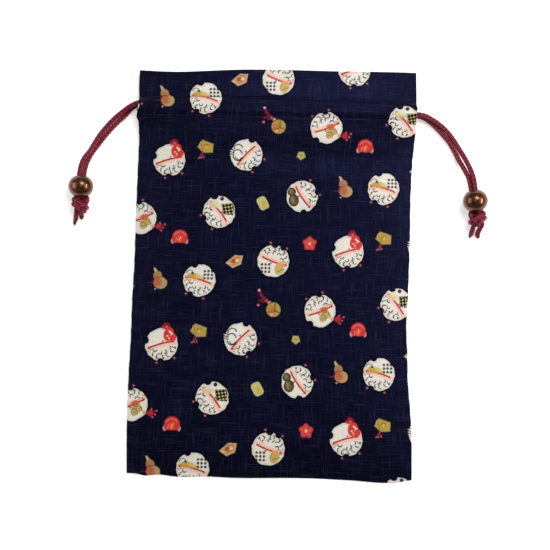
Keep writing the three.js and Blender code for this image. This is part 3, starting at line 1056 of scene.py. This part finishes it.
def tiled(a, b, x, y):
    """A motif's own view of the cloth, the same in each step of the print's grid."""
    home = np.array([x, y]) @ np.linalg.inv(GRID)
    at_a = (a - float(home[0])).math("WRAP", 0.5, -0.5)
    at_b = (b - float(home[1])).math("WRAP", 0.5, -0.5)
    return Spot(at_a * GRID[0, 0] + at_b * GRID[1, 0], at_a * GRID[0, 1] + at_b * GRID[1, 1])


def nearest_roundel(cloth, a, b):
    """The view along the sash of whichever roundel is nearest, with its second bite's angle."""
    nearest, least = None, None
    for x, y, turn, bite in ROUNDELS.values():
        along = tiled(a, b, x, y).seen_from(0, 0, turn)
        reach = along.x * along.x + along.y * along.y
        packed = linked(cloth.tree, "ShaderNodeCombineXYZ", "X", along.x.socket, {"Z": np.radians(bite)})
        cloth.tree.links.new(along.y.socket, packed.inputs["Y"])
        if nearest is None:
            nearest, least = packed.outputs[0], reach
            continue
        choose = cloth.tree.nodes.new("ShaderNodeMix")
        choose.data_type = "VECTOR"
        cloth.tree.links.new(reach.math("LESS_THAN", least).socket, choose.inputs["Factor"])
        cloth.tree.links.new(nearest, choose.inputs["A"])
        cloth.tree.links.new(packed.outputs[0], choose.inputs["B"])
        nearest, least = choose.outputs["Result"], least.math("MINIMUM", reach)
    parted = linked(cloth.tree, "ShaderNodeSeparateXYZ", "Vector", nearest)
    return dict(zip(("x", "y", "bite"), (Field(cloth.tree, out) for out in parted.outputs)))


def on_circle(r, turn):
    """A place on a circle round the middle, turned by so many degrees."""
    return r * np.cos(np.radians(turn)), r * np.sin(np.radians(turn))


def roundel(cloth, x, y, bite):
    """The part that all roundels share, seen along its sash: a cream round with two bites
    out of its rim, a red sash with a rosy band under it, curls below, and two pink dots."""
    spot, R = Spot(x, y), ROUNDEL
    first = disc(spot, *on_circle(1.07 * R, -107), 0.22 * R)
    bite_x, bite_y = bite.math("COSINE") * (1.06 * R), bite.math("SINE") * (1.06 * R)
    second = Spot(x - bite_x, y - bite_y).distance() - 0.24 * R
    uneven = ((x + y * 0.4) * 0.9).math("SINE") * 0.16 + ((y - x * 0.3) * 1.3).math("SINE") * 0.14
    shape = without(without(disc(spot, 0, 0, R) + uneven, first), second)
    for angle in (-61, -118):
        dot = on_circle(1.16 * R, angle)
        cloth.print(disc(spot, *dot, 1.15), DEEP_RED, 0.4, soft=0.5)
        cloth.print(disc(spot, *dot, 0.5), PINK, 0.65, soft=0.4)
    cloth.print(shape - 1.3, HALO, 0.9, soft=0.6)
    cloth.print(shape, CREAM)
    cloth.print(abs(shape + 0.75) - 0.45, dye(190, 186, 172), 0.4, soft=0.4)
    off_sash = y + x * x * 0.010 - 0.05 * R
    within = shape + 0.3
    cloth.print(both(within, abs(off_sash + 0.85) - 1.35), ROSE, 0.9, soft=0.4)
    cloth.print(both(within, both(abs(off_sash) - 0.55, abs(x + 0.05 * R) - 0.84 * R)), RED)
    cloth.print(disc(spot, 0.12 * R, 0.17 * R, 0.55), dye(130, 60, 48))
    around = y.math("ARCTAN2", x) + (x * 0.9).math("SINE") * 0.05
    outward = spot.distance() + (y * 1.3 + x * 0.7).math("SINE") * 0.35
    for r, pitch, size, lean in ((0.79 * R, 3.3, 1.0, 75), (0.50 * R, 3.4, 1.0, -40)):
        row = Spot((around * r).math("WRAP", pitch / 2, -pitch / 2), outward - r)
        cloth.print(both(arc(row, 0, 0, size, 0.7, lean), y + 2.3), SAGE, 1.0, soft=0.2)
    cloth.print(arc(spot, -0.66 * R, -0.02 * R, 1.6, 0.45, 140), dye(70, 56, 50), 0.85)
    cloth.print(arc(spot, 0.0, -0.42 * R, 3.0, 0.4, 185), dye(120, 128, 112), 0.6)
    return {"shape": shape}


DOT, DOT_HALF_STEP = 0.86, 1.15  # a dot's radius, and half the way to the next one


def plain_dots(cloth, spot, x, y):
    """A small block of plain dark dots, three by three."""
    half_block = 3 * DOT_HALF_STEP - 0.1
    east = (spot.x - (x - 2 * DOT_HALF_STEP)).math("WRAP", DOT_HALF_STEP, -DOT_HALF_STEP)
    north = (spot.y - (y - 2 * DOT_HALF_STEP)).math("WRAP", DOT_HALF_STEP, -DOT_HALF_STEP)
    block = both(abs(spot.x - x) - half_block, abs(spot.y - y) - half_block)
    cloth.print(both(Spot(east, north).distance() - DOT, block), BLACK, 0.92)


# The seven devices that the roundels carry, and the eight sprigs between them. Each is a few
# plain shapes in millimetres from its own middle; a device's larger ones stay within its roundel.


def leaf_device(cloth, at, within):
    cloth.print(both(within, oval(at, -3.3, 2.9, 4.4, 1.6, -8)), dye(186, 176, 96), soft=0.35)
    cloth.print(both(within, oval(at, -3.4, 1.8, 5.0, 1.0, -8)), dye(206, 160, 62), soft=0.3)
    cloth.print(both(within, oval(at, 0.5, 2.3, 3.4, 1.1, -14)), dye(222, 200, 130), 0.8, soft=0.4)
    cloth.print(arc(at, -6.2, 4.0, 2.3, 0.5, -10), BLACK, 0.9)
    cloth.print(disc(at, -4.6, 4.5, 0.75), BLACK, 0.9)
    plain_dots(cloth, at, 5.6, 3.6)


def gold_device(cloth, at, within):
    cloth.print(both(within, oval(at, 3.9, -4.9, 3.1, 4.0, -20)), GOLD, soft=0.35)
    cloth.print(both(within, oval(at, 4.6, -2.4, 2.8, 1.4, -10)), dye(228, 164, 84), 0.85, soft=0.4)
    cloth.print(stroke(at, 2.6, -6.9, 5.0, -5.6, 0.45), dye(84, 92, 50), 0.85)
    cloth.print(stroke(at, 5.0, -5.6, 7.0, -5.3, 0.45), dye(84, 92, 50), 0.85)
    cloth.print(stroke(at, 2.2, -2.9, 1.6, -5.4, 0.4), dye(140, 130, 70), 0.7)
    plain_dots(cloth, at, -5.0, -4.6)


def gourd_device(cloth, at, within):
    lobes = either(disc(at, -6.9, 2.9, 2.5), oval(at, -5.4, -2.6, 3.1, 3.6))
    cloth.print(both(within, lobes - 0.3), dye(44, 38, 26))
    cloth.print(both(within, lobes + 0.4), dye(98, 88, 56), soft=0.4)
    cloth.print(oval(at, -6.2, -2.2, 0.9, 2.2, 10), dye(150, 138, 92), 0.8, soft=0.4)
    cloth.print(oval(at, -7.2, 3.2, 0.8, 1.2, 0), dye(146, 134, 90), 0.7, soft=0.4)
    cloth.print(arc(at, -4.6, -0.6, 1.3, 0.55, -70), dye(36, 30, 22), 0.9)


def tassel_device(cloth, at, within):
    cloth.print(both(within, oval(at, 3.6, -2.0, 3.6, 2.7, -25)), dye(200, 170, 96), soft=0.35)
    cloth.print(both(within, oval(at, 2.6, 1.0, 2.7, 1.8, 10)), dye(206, 96, 60), 0.95, soft=0.4)
    cloth.print(arc(at, 3.0, 0.4, 1.6, 0.45, 170), dye(150, 60, 40), 0.8)
    cloth.print(disc(at, 1.9, -4.9, 2.2), dye(190, 172, 98), soft=0.3)
    cloth.print(arc(at, 1.9, -4.9, 2.3, 0.45, -30), dye(70, 76, 44), 0.9)
    cloth.print(stroke(at, 0.6, -5.4, 3.2, -4.4, 0.4), dye(92, 92, 54), 0.8)
    cloth.print(stroke(at, 5.6, -0.6, 7.2, -3.6, 0.5), dye(80, 70, 40), 0.85)
    cloth.print(disc(at, 8.2, -4.9, 1.1), dye(206, 170, 130))
    for x, y, wide in ((16.0, -3.6, 0.7), (15.0, -5.8, 0.6), (13.6, -7.6, 0.8), (12.8, -2.8, 0.7)):
        cloth.print(stroke(at, 9.8, -5.1, x, y, wide), WINE, 0.9, soft=0.35)
        cloth.print(disc(at, x, y, 0.6), dye(206, 96, 96), 0.8, soft=0.3)
    cloth.print(disc(at, 12.0, -5.0, 1.7), dye(186, 46, 60), 0.8, soft=0.5)


def check_device(cloth, at, within):
    patch = both(within, facets(at, (1.4, 5.2), (9.6, 5.8), (9.2, -2.0), (2.6, -1.6)))
    cloth.print(both(within, oval(at, -2.6, 4.6, 3.9, 1.9, -12)), dye(224, 214, 156), 0.85, soft=0.5)
    cloth.print(patch, BLACK)
    check_x = (at.x + at.y * 0.2 - 0.4).math("WRAP", 1.05, -1.05)
    check_y = (at.y - at.x * 0.2).math("WRAP", 1.05, -1.05)
    boxes = abs(check_x) + abs(check_y) - 0.82
    cloth.print(both(patch + 0.3, boxes), dye(206, 194, 112), 0.95)
    cloth.print(disc(at, 1.7, 8.5, 1.25), BLACK)
    cloth.print(oval(at, 1.5, 8.7, 0.5, 0.4), dye(120, 110, 90), 0.6)


def flower_device(cloth, at, within):
    cloth.print(disc(at, 2.6, 11.4, 2.3), dye(170, 36, 52), 0.75, soft=0.7)
    cloth.print(disc(at, 0.6, 10.7, 1.1), dye(190, 50, 62), 0.7, soft=0.5)
    cloth.print(disc(at, 2.8, 11.0, 0.7), dye(226, 130, 130), 0.8, soft=0.4)
    bloom = either(oval(at, 4.2, 6.4, 3.2, 4.4, -14), disc(at, 6.6, 4.6, 2.6))
    cloth.print(bloom, CORAL, soft=0.3)
    cloth.print(stroke(at, 4.8, 8.2, 6.6, 6.6, 1.0), CREAM, 0.95)
    cloth.print(stroke(at, 6.6, 6.6, 5.4, 5.6, 0.6), CREAM, 0.9)
    cloth.print(disc(at, 3.4, 5.3, 0.6), dye(246, 200, 180), 0.9)
    cloth.print(disc(at, 4.6, 3.9, 0.6), dye(246, 200, 180), 0.9)
    cloth.print(arc(at, 6.9, 4.7, 1.5, 0.45, 60), dye(140, 24, 32), 0.9)
    cloth.print(stroke(at, 2.6, 7.8, 3.8, 6.2, 0.4), dye(150, 26, 34), 0.8)


def swirl_device(cloth, at, within):
    arcs = ((-5.4, 4.0, 2.7, 10), (-5.8, 0.4, 2.9, 0), (-5.4, -0.9, 3.1, 170), (-5.2, -1.6, 1.8, 175))
    for x, y, r, lean in arcs:
        cloth.print(both(within, arc(at, x, y, r, 0.75, lean)), BLACK, 0.95)
    for y in (3.2, 1.6, 0.2):
        cloth.print(stroke(at, -10.9, y + 0.3, -7.9, y - 0.5, 0.6), BLACK, 0.95)
        cloth.print(stroke(at, -10.6, y - 0.5, -9.0, y - 1.0, 0.4), CREAM, 0.9)


def gourd_sprig(cloth, at):
    body, neck = oval(at, 0.7, -2.7, 4.2, 3.7), oval(at, -1.3, 2.0, 2.7, 2.8, 20)
    tip = facets(at, (-3.0, 2.6), (-4.2, 7.0), (-3.3, 7.1), (-0.4, 3.6))
    cloth.print(either(body, either(neck, tip)) - 0.6, HALO)
    cloth.print(tip, dye(196, 170, 134), soft=0.3)
    cloth.print(neck, dye(168, 128, 88), soft=0.3)
    cloth.print(body, TAN, soft=0.3)
    cloth.print(oval(at, -1.0, -2.3, 2.6, 2.9, 10), dye(182, 88, 46), 0.85, soft=1.0)
    cloth.print(oval(at, -1.8, 1.3, 1.5, 1.4), dye(170, 104, 64), 0.7, soft=0.8)
    cloth.print(stroke(at, -3.0, 0.3, 1.0, 0.9, 0.45), dye(110, 52, 34), 0.8)
    cloth.print(stroke(at, -7.2, -2.6, -4.0, -2.7, 0.4), dye(110, 62, 66), 0.7)
    cloth.print(disc(at, -2.6, -6.6, 0.55), PINK, 0.8)


def fan_sprig(cloth, at):
    fan = facets(at, (-5.4, -1.2), (0.2, 3.8), (5.4, 3.6), (4.4, -1.8), (-0.9, -4.4))
    cloth.print(fan - 0.5, HALO)
    cloth.print(fan, dye(206, 176, 132), soft=0.3)
    cloth.print(fan + 1.0, dye(196, 130, 70), soft=0.8)
    cloth.print(oval(at, -0.5, 0.2, 1.5, 1.2, 20), dye(150, 76, 34), 0.9, soft=0.5)
    cloth.print(disc(at, 2.0, 0.5, 1.1), dye(244, 214, 160), 0.9, soft=0.4)
    cloth.print(stroke(at, -4.4, -1.4, -1.2, -1.6, 0.5), dye(232, 210, 176), 0.8)
    cloth.print(stroke(at, -0.8, 2.6, 3.6, 2.6, 0.45), dye(150, 100, 54), 0.7)


def ball_sprig(cloth, at):
    strands = (
        (-2.6, 3.6, -6.0, 7.2, 1.4), (-6.0, 7.2, -8.6, 9.4, 1.1), (-6.0, 7.2, -9.4, 5.6, 0.8),
        (-7.0, 8.0, -8.8, 11.4, 0.8), (-4.0, 5.4, -7.2, 4.8, 0.7),
    )
    for x0, y0, x1, y1, wide in strands:
        cloth.print(stroke(at, x0, y0, x1, y1, wide), WINE, 0.85, soft=0.5)
    cloth.print(disc(at, -4.6, 5.8, 0.9), dye(196, 84, 90), 0.8, soft=0.4)
    cloth.print(disc(at, -2.6, 4.2, 1.1), dye(214, 180, 150), soft=0.3)
    cloth.print(disc(at, -9.4, 12.2, 0.85), PINK, 0.95)
    cloth.print(disc(at, -9.8, 2.8, 0.8), dye(206, 110, 132), 0.9)
    ball = disc(at, 0, 0, 4.6)
    cloth.print(ball - 0.5, HALO)
    cloth.print(ball, dye(176, 152, 74), soft=0.3)
    cloth.print(oval(at, -1.5, -0.4, 2.3, 2.9), dye(190, 110, 56), 0.85, soft=0.9)
    cloth.print(both(ball, stroke(at, 0.9, 4.6, 0.9, -0.6, 0.6)), dye(60, 44, 26), 0.9)
    cloth.print(both(ball, stroke(at, 0.9, -0.6, 4.4, -2.2, 0.6)), dye(60, 44, 26), 0.9)
    cloth.print(both(ball, stroke(at, -3.8, -1.8, 0.9, -0.9, 0.5)), dye(110, 60, 36), 0.8)
    cloth.print(disc(at, -1.2, -3.0, 0.9), dye(226, 180, 146), 0.8, soft=0.5)


def star_sprig(cloth, at):
    for x, y in ((-4.4, -7.6), (-1.4, -7.0), (-3.0, -7.4)):
        cloth.print(stroke(at, -2.2, -3.8, x, y, 0.55), dye(158, 48, 66), 0.85, soft=0.3)
        cloth.print(disc(at, x, y, 0.5), dye(200, 110, 120), 0.8)
    star = facets(at, (-5.6, -0.4), (-2.6, 4.3), (4.7, 1.8), (4.4, -3.7), (-1.4, -4.0))
    cloth.print(star - 0.5, HALO)
    cloth.print(star, OLIVE, soft=0.4)
    cloth.print(star + 1.4, dye(190, 156, 62), soft=0.6)
    cloth.print(arc(at, 0.4, -0.2, 1.7, 0.5, 30), dye(112, 80, 36), 0.85)
    cloth.print(arc(at, -0.4, 0.2, 0.9, 0.45, 210), dye(230, 200, 110), 0.8)
    cloth.print(stroke(at, -3.6, 2.2, -1.8, -2.8, 0.5), dye(128, 100, 46), 0.8)
    cloth.print(stroke(at, -4.4, 1.2, -3.6, 3.0, 0.5), dye(226, 206, 140), 0.7)


def dome_sprig(cloth, at):
    for x in (-4.5, 4.3):
        cloth.print(oval(at, x, -2.9, 1.1, 1.7), PINK, 0.9, soft=0.3)
    dome = both(disc(at, 0, -0.6, 4.8), above(at, 0, -4.0))
    cloth.print(dome - 0.4, dye(120, 22, 30), 0.7)
    cloth.print(dome, dye(206, 54, 48), soft=0.35)
    cloth.print(both(ring(at, 0, -0.8, 3.7, 0.9), above(at, 0, 0.6)), dye(232, 116, 106), 0.8, soft=0.5)
    cloth.print(oval(at, 0.2, -1.6, 2.0, 2.3), dye(226, 92, 54), 0.95, soft=0.5)
    cloth.print(stroke(at, -0.4, -2.6, 0.4, -0.6, 0.6), dye(250, 176, 130), 0.9)
    cloth.print(stroke(at, 1.4, -3.2, 1.6, -1.4, 0.5), dye(170, 30, 30), 0.8)
    cloth.print(stroke(at, -2.6, -3.6, -2.2, -1.0, 0.5), dye(240, 150, 140), 0.7)


def bud_sprig(cloth, at):
    bud = polygon(at, 0, 0, 2.4, 5, 18)
    cloth.print(bud - 0.5, HALO)
    cloth.print(bud, dye(180, 174, 100), soft=0.4)
    cloth.print(disc(at, 0.2, 0.1, 0.9), dye(150, 140, 64), 0.8, soft=0.5)


def coin_sprig(cloth, at):
    tilted = at.seen_from(0, 0, 28)
    square = both(abs(tilted.x) - 3.1, abs(tilted.y) - 4.3)
    coin = square.math("SMOOTH_MAX", oval(tilted, 0, 0, 3.7, 4.9), 0.8)
    cloth.print(coin - 0.5, HALO)
    cloth.print(coin, dye(206, 202, 130), soft=0.3)
    cloth.print(oval(tilted, 0.3, -0.6, 1.7, 2.9), dye(190, 176, 92), 0.8, soft=0.6)
    cloth.print(abs(oval(tilted, 0, 0, 2.4, 3.6)) - 0.2, dye(170, 158, 84), 0.6)
    cloth.print(stroke(tilted, 0.2, -0.6, 0.2, -1.6, 0.8), dye(206, 160, 60), 0.9)


def blossom_sprig(cloth, at):
    petals = at.y.math("ARCTAN2", at.x).math("MULTIPLY_ADD", 5.0, -1.57).math("COSINE")
    blossom = at.distance() - petals.math("MULTIPLY_ADD", 0.5, 4.1)
    cloth.print(blossom - 0.4, dye(100, 18, 30), 0.8)
    cloth.print(blossom, dye(200, 66, 60), soft=0.35)
    cloth.print(blossom + 1.5, dye(222, 104, 88), 0.7, soft=0.6)
    cloth.print(disc(at, 0, 0, 0.9), dye(238, 180, 120))
    cloth.print(abs(disc(at, 0, 0, 1.9)) - 0.2, dye(150, 30, 36), 0.7)


DEVICES = {
    "leaf": leaf_device,
    "gold": gold_device,
    "gourd": gourd_device,
    "tassel": tassel_device,
    "check": check_device,
    "flower": flower_device,
    "swirl": swirl_device,
}
# Each sprig's middle, and what draws it.
SPRIGS = {
    "gourd": (-71.5, 113.6, gourd_sprig),
    "fan": (-24.3, 125.9, fan_sprig),
    "ball": (1.6, 95.4, ball_sprig),
    "star": (-45.2, 81.2, star_sprig),
    "dome": (58.3, 84.0, dome_sprig),
    "bud": (16.8, 76.7, bud_sprig),
    "coin": (-7.5, 45.1, coin_sprig),
    "blossom": (23.8, 19.6, blossom_sprig),
}


def screen(tree, name, draw, colour, **numbers):
    """One screen of the print, as a node group: it takes the colour so far and some numbers,
    lays its inks over the colour, and hands back any numbers that it has worked out."""
    group = bpy.data.node_groups.new(name, "ShaderNodeTree")
    group.interface.new_socket("colour", in_out="INPUT", socket_type="NodeSocketColor")
    for key in numbers:
        group.interface.new_socket(key, in_out="INPUT", socket_type="NodeSocketFloat")
    start = group.nodes.new("NodeGroupInput")
    cloth = Cloth(group, start.outputs["colour"])
    found = draw(cloth, **{key: Field(group, start.outputs[key]) for key in numbers}) or {}
    group.interface.new_socket("colour", in_out="OUTPUT", socket_type="NodeSocketColor")
    for key in found:
        group.interface.new_socket(key, in_out="OUTPUT", socket_type="NodeSocketFloat")
    end = group.nodes.new("NodeGroupOutput")
    group.links.new(cloth.colour, end.inputs["colour"])
    for key, value in found.items():
        group.links.new(value.socket, end.inputs[key])
    node = tree.nodes.new("ShaderNodeGroup")
    node.node_tree = group
    tree.links.new(colour, node.inputs["colour"])
    for key, value in numbers.items():
        tree.links.new(value.socket, node.inputs[key])
    return node.outputs["colour"], {key: Field(tree, node.outputs[key]) for key in found}


def print_cloth(tree, colour, a, b):
    """All screens over the ground colour: the roundels with their devices, then the sprigs.
    a and b say how many steps of the print's grid along each of its two repeats."""
    colour, view = screen(tree, "nearest_roundel", nearest_roundel, colour, a=a, b=b)
    colour, made = screen(tree, "roundel", roundel, colour, **view)
    within = made["shape"] + 0.25
    for kind, device in DEVICES.items():
        x, y = ROUNDELS[kind][:2]

        def draw_device(cloth, a, b, within):
            device(cloth, tiled(a, b, x, y), within)

        colour, _ = screen(tree, f"{kind}_device", draw_device, colour, a=a, b=b, within=within)
    for kind, (x, y, sprig) in SPRIGS.items():

        def draw_sprig(cloth, a, b):
            sprig(cloth, tiled(a, b, x, y))

        colour, _ = screen(tree, f"{kind}_sprig", draw_sprig, colour, a=a, b=b)
    return colour


def threads(tree, flat, length, width, start):
    """Uneven threads along one direction: noise stretched out to their length."""
    stretch = {"Scale": (1 / length, 1 / width, 1), "Location": (start, 2 * start, 0)}
    stretched = linked(tree, "ShaderNodeMapping", "Vector", flat, stretch)
    settings = {"Scale": 1.0, "Detail": 2.0}
    noise = linked(tree, "ShaderNodeTexNoise", "Vector", stretched.outputs[0], settings)
    return Field(tree, noise.outputs["Fac"])


NAVY = (0.0012, 0.0014, 0.0062, 1)
NAVY_LIGHT = (0.0120, 0.0130, 0.0380, 1)
THREAD = 0.55  # from one thread to the next
SLUB_LENGTH, SLUB_WIDTH = 16, 0.8  # a thick place in a thread
WAVER = 0.35  # how far the print's edges stray either way


def cotton(name, printed):
    """Navy slub cotton in plain weave, with or without the print on it. Thick places in the
    threads are a lighter navy. The print's edges waver by the threads, and it is thinner
    where they are thin. The surface rises with the thick threads and with the weave, a sine
    wave across times one along."""
    material, tree, shader = new_material(name, {
        "Roughness": 0.45,
        "Specular IOR Level": 0.18,
        "Specular Tint": (0.24, 0.28, 1.0, 1),
        "Sheen Weight": 0.02,
        "Sheen Roughness": 0.5,
    })
    uv = tree.nodes.new("ShaderNodeUVMap")
    uv.uv_map = "flat"
    parted = linked(tree, "ShaderNodeSeparateXYZ", "Vector", uv.outputs[0])
    u, v = Field(tree, parted.outputs[0]), Field(tree, parted.outputs[1])
    weft = threads(tree, uv.outputs[0], SLUB_LENGTH, SLUB_WIDTH, 3)
    warp = threads(tree, uv.outputs[0], SLUB_WIDTH, SLUB_LENGTH, 11)
    slub = weft.math("MAXIMUM", warp)
    lighter = slub.math("MULTIPLY_ADD", 5.0, -2.72, clamp=True)
    colour = mixed(tree, lighter.socket, NAVY, NAVY_LIGHT)
    if printed:
        rough = linked(tree, "ShaderNodeTexNoise", "Vector", uv.outputs[0], {"Scale": 1.1})
        shaken = linked(tree, "ShaderNodeSeparateColor", "Color", rough.outputs["Color"])
        at_u = u + Field(tree, shaken.outputs[0]).math("MULTIPLY_ADD", 2 * WAVER, -WAVER)
        at_v = v + Field(tree, shaken.outputs[1]).math("MULTIPLY_ADD", 2 * WAVER, -WAVER)
        to_steps = np.linalg.inv(GRID)
        a = at_u * float(to_steps[0, 0]) + at_v * float(to_steps[1, 0])
        b = at_u * float(to_steps[0, 1]) + at_v * float(to_steps[1, 1])
        colour = print_cloth(tree, colour, a, b)
        thick = slub.math("MULTIPLY_ADD", 2.2, -0.35, clamp=True)
        worn = mixed(tree, thick.socket, (0.80, 0.80, 0.80, 1), (1.0, 1.0, 1.0, 1))
        colour = mixed(tree, 1.0, colour, worn, "MULTIPLY")
    tree.links.new(colour, shader.inputs["Base Color"])
    weave = (u * (np.pi / THREAD)).math("SINE") * (v * (np.pi / THREAD)).math("SINE")
    height = weave * 0.05 + slub * 0.25
    relief = linked(tree, "ShaderNodeBump", "Height", height.socket, {"Distance": 1 * MM, "Strength": 0.5})
    tree.links.new(relief.outputs[0], shader.inputs["Normal"])
    return material


printed_cotton = cotton("printed_cotton", True)
plain_cotton = cotton("plain_cotton", False)
front = panel("front_panel", 1, front_height, front_casing)
back = panel("back_panel", -1, back_height, back_casing)

# ---- Stitching ----------------------------------------------------------------------------
# Two lines of machine stitches in navy thread hold each panel's turned-in top down, one
# along either edge of the casing.

STITCH, STITCH_PITCH = 2.2, 2.6  # a stitch's length, and from one to the next
STITCHED_FROM, STITCHED_TO = -86.0, 85.0
THREAD_RADIUS = 0.13

navy_thread, _, _ = new_material("navy_thread", {
    "Base Color": (0.0040, 0.0040, 0.0120, 1), "Roughness": 0.6, "Specular IOR Level": 0.2,
})


def stitching(name, height, lift):
    """A panel's stitches: each one is a thin spindle along its line, six-sided, lying half
    sunk in the cloth at the cloth's height there plus a lift."""
    along = np.array([-0.5, -0.42, -0.2, 0.2, 0.42, 0.5]) * STITCH
    thick = np.array([0.15, 0.75, 1.0, 1.0, 0.75, 0.15]) * THREAD_RADIUS
    angle = 2 * np.pi * np.arange(6) / 6
    x = np.arange(STITCHED_FROM, STITCHED_TO, STITCH_PITCH)
    middles = np.array([(at, y) for y in (SEAM_LOW, SEAM_HIGH) for at in x])
    X = middles[:, 0, None, None] + along[None, :, None] + 0 * angle
    Y = middles[:, 1, None, None] + thick[None, :, None] * np.cos(angle)
    Z = height(X, middles[:, 1, None, None] + 0 * X) + lift + thick[None, :, None] * np.sin(angle)
    stitches, rings, sides = X.shape
    start = np.arange(stitches)[:, None] * rings * sides
    around = start[..., None] + grid_faces(rings, sides, columns_meet=True)
    first = start + np.arange(sides)
    ends = first[:, ::-1].tolist() + (first + (rings - 1) * sides).tolist()
    faces = around.reshape(-1, 4).tolist() + ends
    piece = new_piece(name, np.stack([X, Y, Z], -1).reshape(-1, 3), faces, navy_thread)
    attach(piece, "pouch")


stitching("front_stitching", front_height, CLOTH / 2 + 0.02)
stitching("back_stitching", back_height, -0.08)
